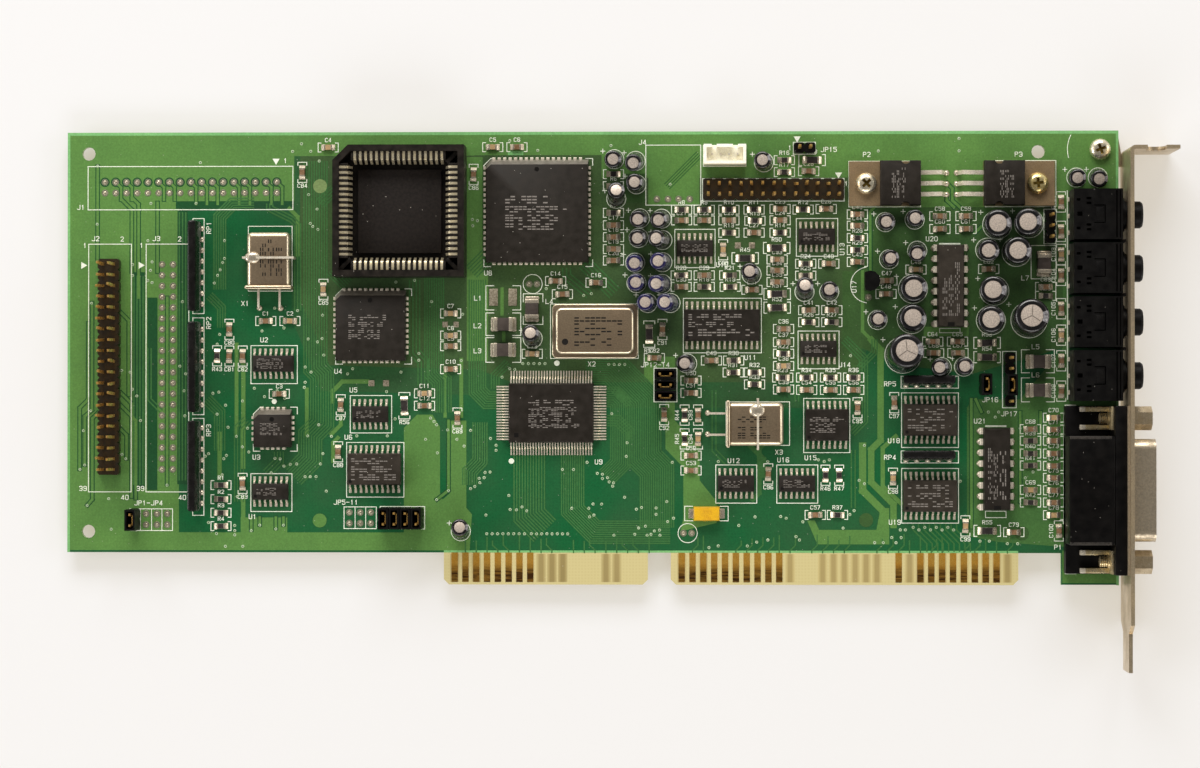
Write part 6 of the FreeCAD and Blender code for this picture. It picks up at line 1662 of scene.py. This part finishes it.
# Crystals and oscillator: quartz in drawn nickel-silver cans, cold-welded to a flanged foot. The two
# flat-lying ones are held down by a wire strap with a blob of solder; the print is burnt on in black.
CRYSTAL_TOP, OSCILLATOR_TOP = 4.26, 5.11
can_nickel = finish("can_nickel", (164, 145, 119), (142, 124, 101), 0.38, 0.85, 160.0, 3000.0, 0.3, 0.1)
# A paler copy of the nickel for the sloped shoulders of the cans: a painted highlight.
can_shoulder = finish("can_shoulder", (234, 221, 194), (216, 202, 174), 0.34, 0.85, 160.0, 3000.0, 0.3, 0.1)
can_ink = finish("can_ink", (14, 12, 10), (24, 21, 18), 0.6, patch=2500.0, shine=0.2)


def drawn(bm, u, v, z, du, dv, dz, corner, rim):
    """A box drawn from sheet: its upright corners rounded, and then its top rim."""
    made = cube(bm, du, dv, dz, standing(u, v, z + dz / 2))
    edges = solid_of(made)[1]
    upright = [edge for edge in edges if abs(edge.verts[0].co.z - edge.verts[1].co.z) > 0.1 * MM]
    round_edges(bm, upright, corner, 5)
    level = at(u, v, z + dz).z
    top = [edge for edge in bm.edges if all(abs(vert.co.z - level) < 0.001 * MM for vert in edge.verts)]
    round_edges(bm, top, rim, 4)


def add_can(node, can):
    """Puts a can in its place, in the finish of its metal, with its sloped shoulders in a paler copy: a
    painted highlight.
    """
    bmesh.ops.recalc_face_normals(can, faces=can.faces)
    paint([face for face in can.faces if 0.3 < face.normal.z < 0.94], 1)
    add_piece(node, can, [can_nickel, can_shoulder], "can_nickel", node)


for node, foot, shell in (
    ("crystal_1", (47.95, 62.25, 0.0, 11.1, 0.9, 4.7, 0.4), (47.95, 68.6, 0.45, 10.2, 13.2, 3.8, 1.2)),
    ("crystal_2", (155.65, 30.2, 0.0, 0.9, 11.1, 4.7, 0.4), (162.0, 30.2, 0.45, 13.2, 10.2, 3.8, 1.2)),
):
    can = bmesh.new()
    block(can, *foot, segments=4)
    block(can, *shell, segments=4)
    add_can(node, can)
dress("crystal_wires", lead_tin)
low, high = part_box("oscillator_can")
middle = (low + high) / 2
size = (high - low) / MM
u, v = (middle.x - LEFT) / MM, (middle.y - BASE) / MM
can = bmesh.new()
drawn(can, u, v, 0.0, size.x, size.y, 0.9, 1.2, 0.3)
drawn(can, u, v, 0.5, size.x - 1.8, size.y - 1.8, size.z - 0.5, 1.6, 0.75)
add_can("oscillator_can", can)
joint_places += [(u + x * 3 * PITCH, v + y * 1.5 * PITCH) for x in (-1, 1) for y in (-1, 1)]
can_prints = bmesh.new()
print_rows(can_prints, 48.6, 69.2, CRYSTAL_TOP, 8.4, (1.3, 1.3, 1.3), 0, True)
print_rows(can_prints, 162.0, 29.4, CRYSTAL_TOP, 8.0, (1.3, 1.3, 1.3), 0)
print_rows(can_prints, 125.6, 51.8, OSCILLATOR_TOP, 11.4, (1.7, 1.7, 1.7), 0)
puck(can_prints, 20, 0.75, 2 * PRINT_DEPTH, standing(117.6, 49.4, OSCILLATOR_TOP))
add_piece("can_prints", can_prints, [can_ink], "can_nickel")

# Solder joints: the ends of the pins stand out under the board in cones of solder from the wave bath. Leads
# that were fitted by hand have round joints on the face as well, and so have the straps over the crystals.
crystal_feet = [(45.4, 57.5), (50.4, 57.4), (150.9, 32.8), (150.9, 27.8)]
jack_feet = [(TAB_U, v + offset) for v in jack_rows for offset in TAB_OFFSETS]
port_feet = []
for u, count in ((236.6, 8), (239.4, 7)):
    port_feet += [(u, PORT_V + offset) for offset in spread(count, PORT_PITCH)]
joint_cone = spun(([(0.0, 1.25), (0.3, 1.2), (0.34, 0.7), (0.5, 0.3), (0.85, 0.06), (0.95, 0.0)], 12))
joint_dome = spun(([(0.0, 0.42), (0.28, 0.36), (0.5, 0.2), (0.66, 0.0)], 14))
joints = bmesh.new()
for u, v in joint_places + crystal_feet + jack_feet + port_feet:
    stamp(joints, joint_cone, standing(u, v, UNDER) @ over)
for u, v in top_joints + crystal_feet:
    stamp(joints, joint_dome, standing(u, v, 0.03))
for u, v, wide, deep in ((44.3, 69.2, 1.9, 1.4), (162.4, 33.4, 1.9, 1.6)):
    blob = bmesh.ops.create_icosphere(joints, subdivisions=3, radius=MM)["verts"]
    for vert in blob:
        vert.co *= 1.0 + random.uniform(-0.03, 0.03)
    bmesh.ops.scale(joints, verts=blob, vec=(wide, deep, 0.75))
    bmesh.ops.translate(joints, verts=blob, vec=at(u, v, 4.1))
add_piece("solder_joints", joints, [solder], "lead_tin")

# Room light: a pale table under the card, which the camera sees as a bright and even ground. Four soft lamps
# stand round it, and the sky is bright at the sides and dim overhead.
stage_floor = bpy.data.materials.new("table")
stage_floor.use_nodes = True
floor_tree = stage_floor.node_tree
floor_shader = floor_tree.nodes["Principled BSDF"]
floor_shader.inputs["Roughness"].default_value = 0.9
floor_shader.inputs["Base Color"].default_value = colour(215, 225, 243)
path = new_node(floor_tree, "LightPath").outputs
direct = maths(floor_tree, "ADD", path["Is Camera Ray"], path["Is Glossy Ray"])
seen = new_node(floor_tree, "Math", {"use_clamp": True}, i0=direct, i1=path["Is Transmission Ray"])
share = maths(floor_tree, "MULTIPLY", seen.outputs[0], 0.5)
glow = new_node(floor_tree, "Emission", Color=colour(255, 241, 216)).outputs[0]
ground = new_node(floor_tree, "MixShader", i0=share, i1=floor_shader.outputs[0], i2=glow).outputs[0]
floor_tree.links.new(ground, floor_tree.nodes["Material Output"].inputs["Surface"])
floor = bmesh.new()
below = Matrix.Translation((0, 0, -0.0004))
bmesh.ops.create_grid(floor, x_segments=1, y_segments=1, size=3.0, matrix=below)
floor_mesh = bpy.data.meshes.new("table")
floor.to_mesh(floor_mesh)
floor.free()
floor_mesh.materials.append(stage_floor)
table = bpy.data.objects.new("table", floor_mesh)
bpy.context.scene.collection.objects.link(table)

world = bpy.data.worlds.new("room")
bpy.context.scene.world = world
world.use_nodes = True
sky_tree = world.node_tree
background = sky_tree.nodes["Background"].inputs
background["Color"].default_value = (1.0, 0.97, 0.93, 1.0)
sky_place = new_node(sky_tree, "TexCoord").outputs["Generated"]
height_in_sky = new_node(sky_tree, "SeparateXYZ", i0=sky_place).outputs[2]
dim = new_node(sky_tree, "MapRange", i0=height_in_sky, i1=0.1, i2=0.85, i3=0.75, i4=0.12).outputs[0]
sky_tree.links.new(dim, background["Strength"])


def soft_light(name, place, size, power, warmth):
    """A large oblong lamp that looks at the card."""
    lamp = bpy.data.lights.new(name, "AREA")
    lamp.shape = "RECTANGLE"
    lamp.size, lamp.size_y = size
    lamp.energy = power
    lamp.color = warmth
    holder = bpy.data.objects.new(name, lamp)
    holder.location = place
    holder.rotation_euler = (-Vector(place)).to_track_quat("-Z", "Y").to_euler()
    bpy.context.scene.collection.objects.link(holder)


soft_light("window", (-0.15, 1.15, 0.75), (1.2, 0.6), 21.0, (1.0, 0.97, 0.93))
soft_light("left_wall", (-1.2, -0.1, 0.65), (1.0, 0.5), 8.0, (1.0, 0.98, 0.96))
soft_light("right_wall", (1.25, 0.1, 0.7), (1.0, 0.5), 5.0, (1.0, 0.96, 0.9))
soft_light("near_wall", (0.1, -1.15, 0.75), (1.2, 0.5), 8.0, (1.0, 0.97, 0.94))

# Camera: a long lens almost straight above the card, as in the photograph. Its place, tilt and length were
# fitted to the edge contacts, the header pins and the corners of the board.
lens = bpy.data.cameras.new("camera")
lens.lens = 101.3316
lens.sensor_width = 36.0
camera = bpy.data.objects.new("camera", lens)
camera.location = (0.017007, -0.002809, 0.7966)
camera.rotation_euler = [math.radians(angle) for angle in (0.47332, 1.51999, -0.00109)]
bpy.context.scene.collection.objects.link(camera)
bpy.context.scene.camera = camera
bpy.context.scene.view_settings.view_transform = "Standard"
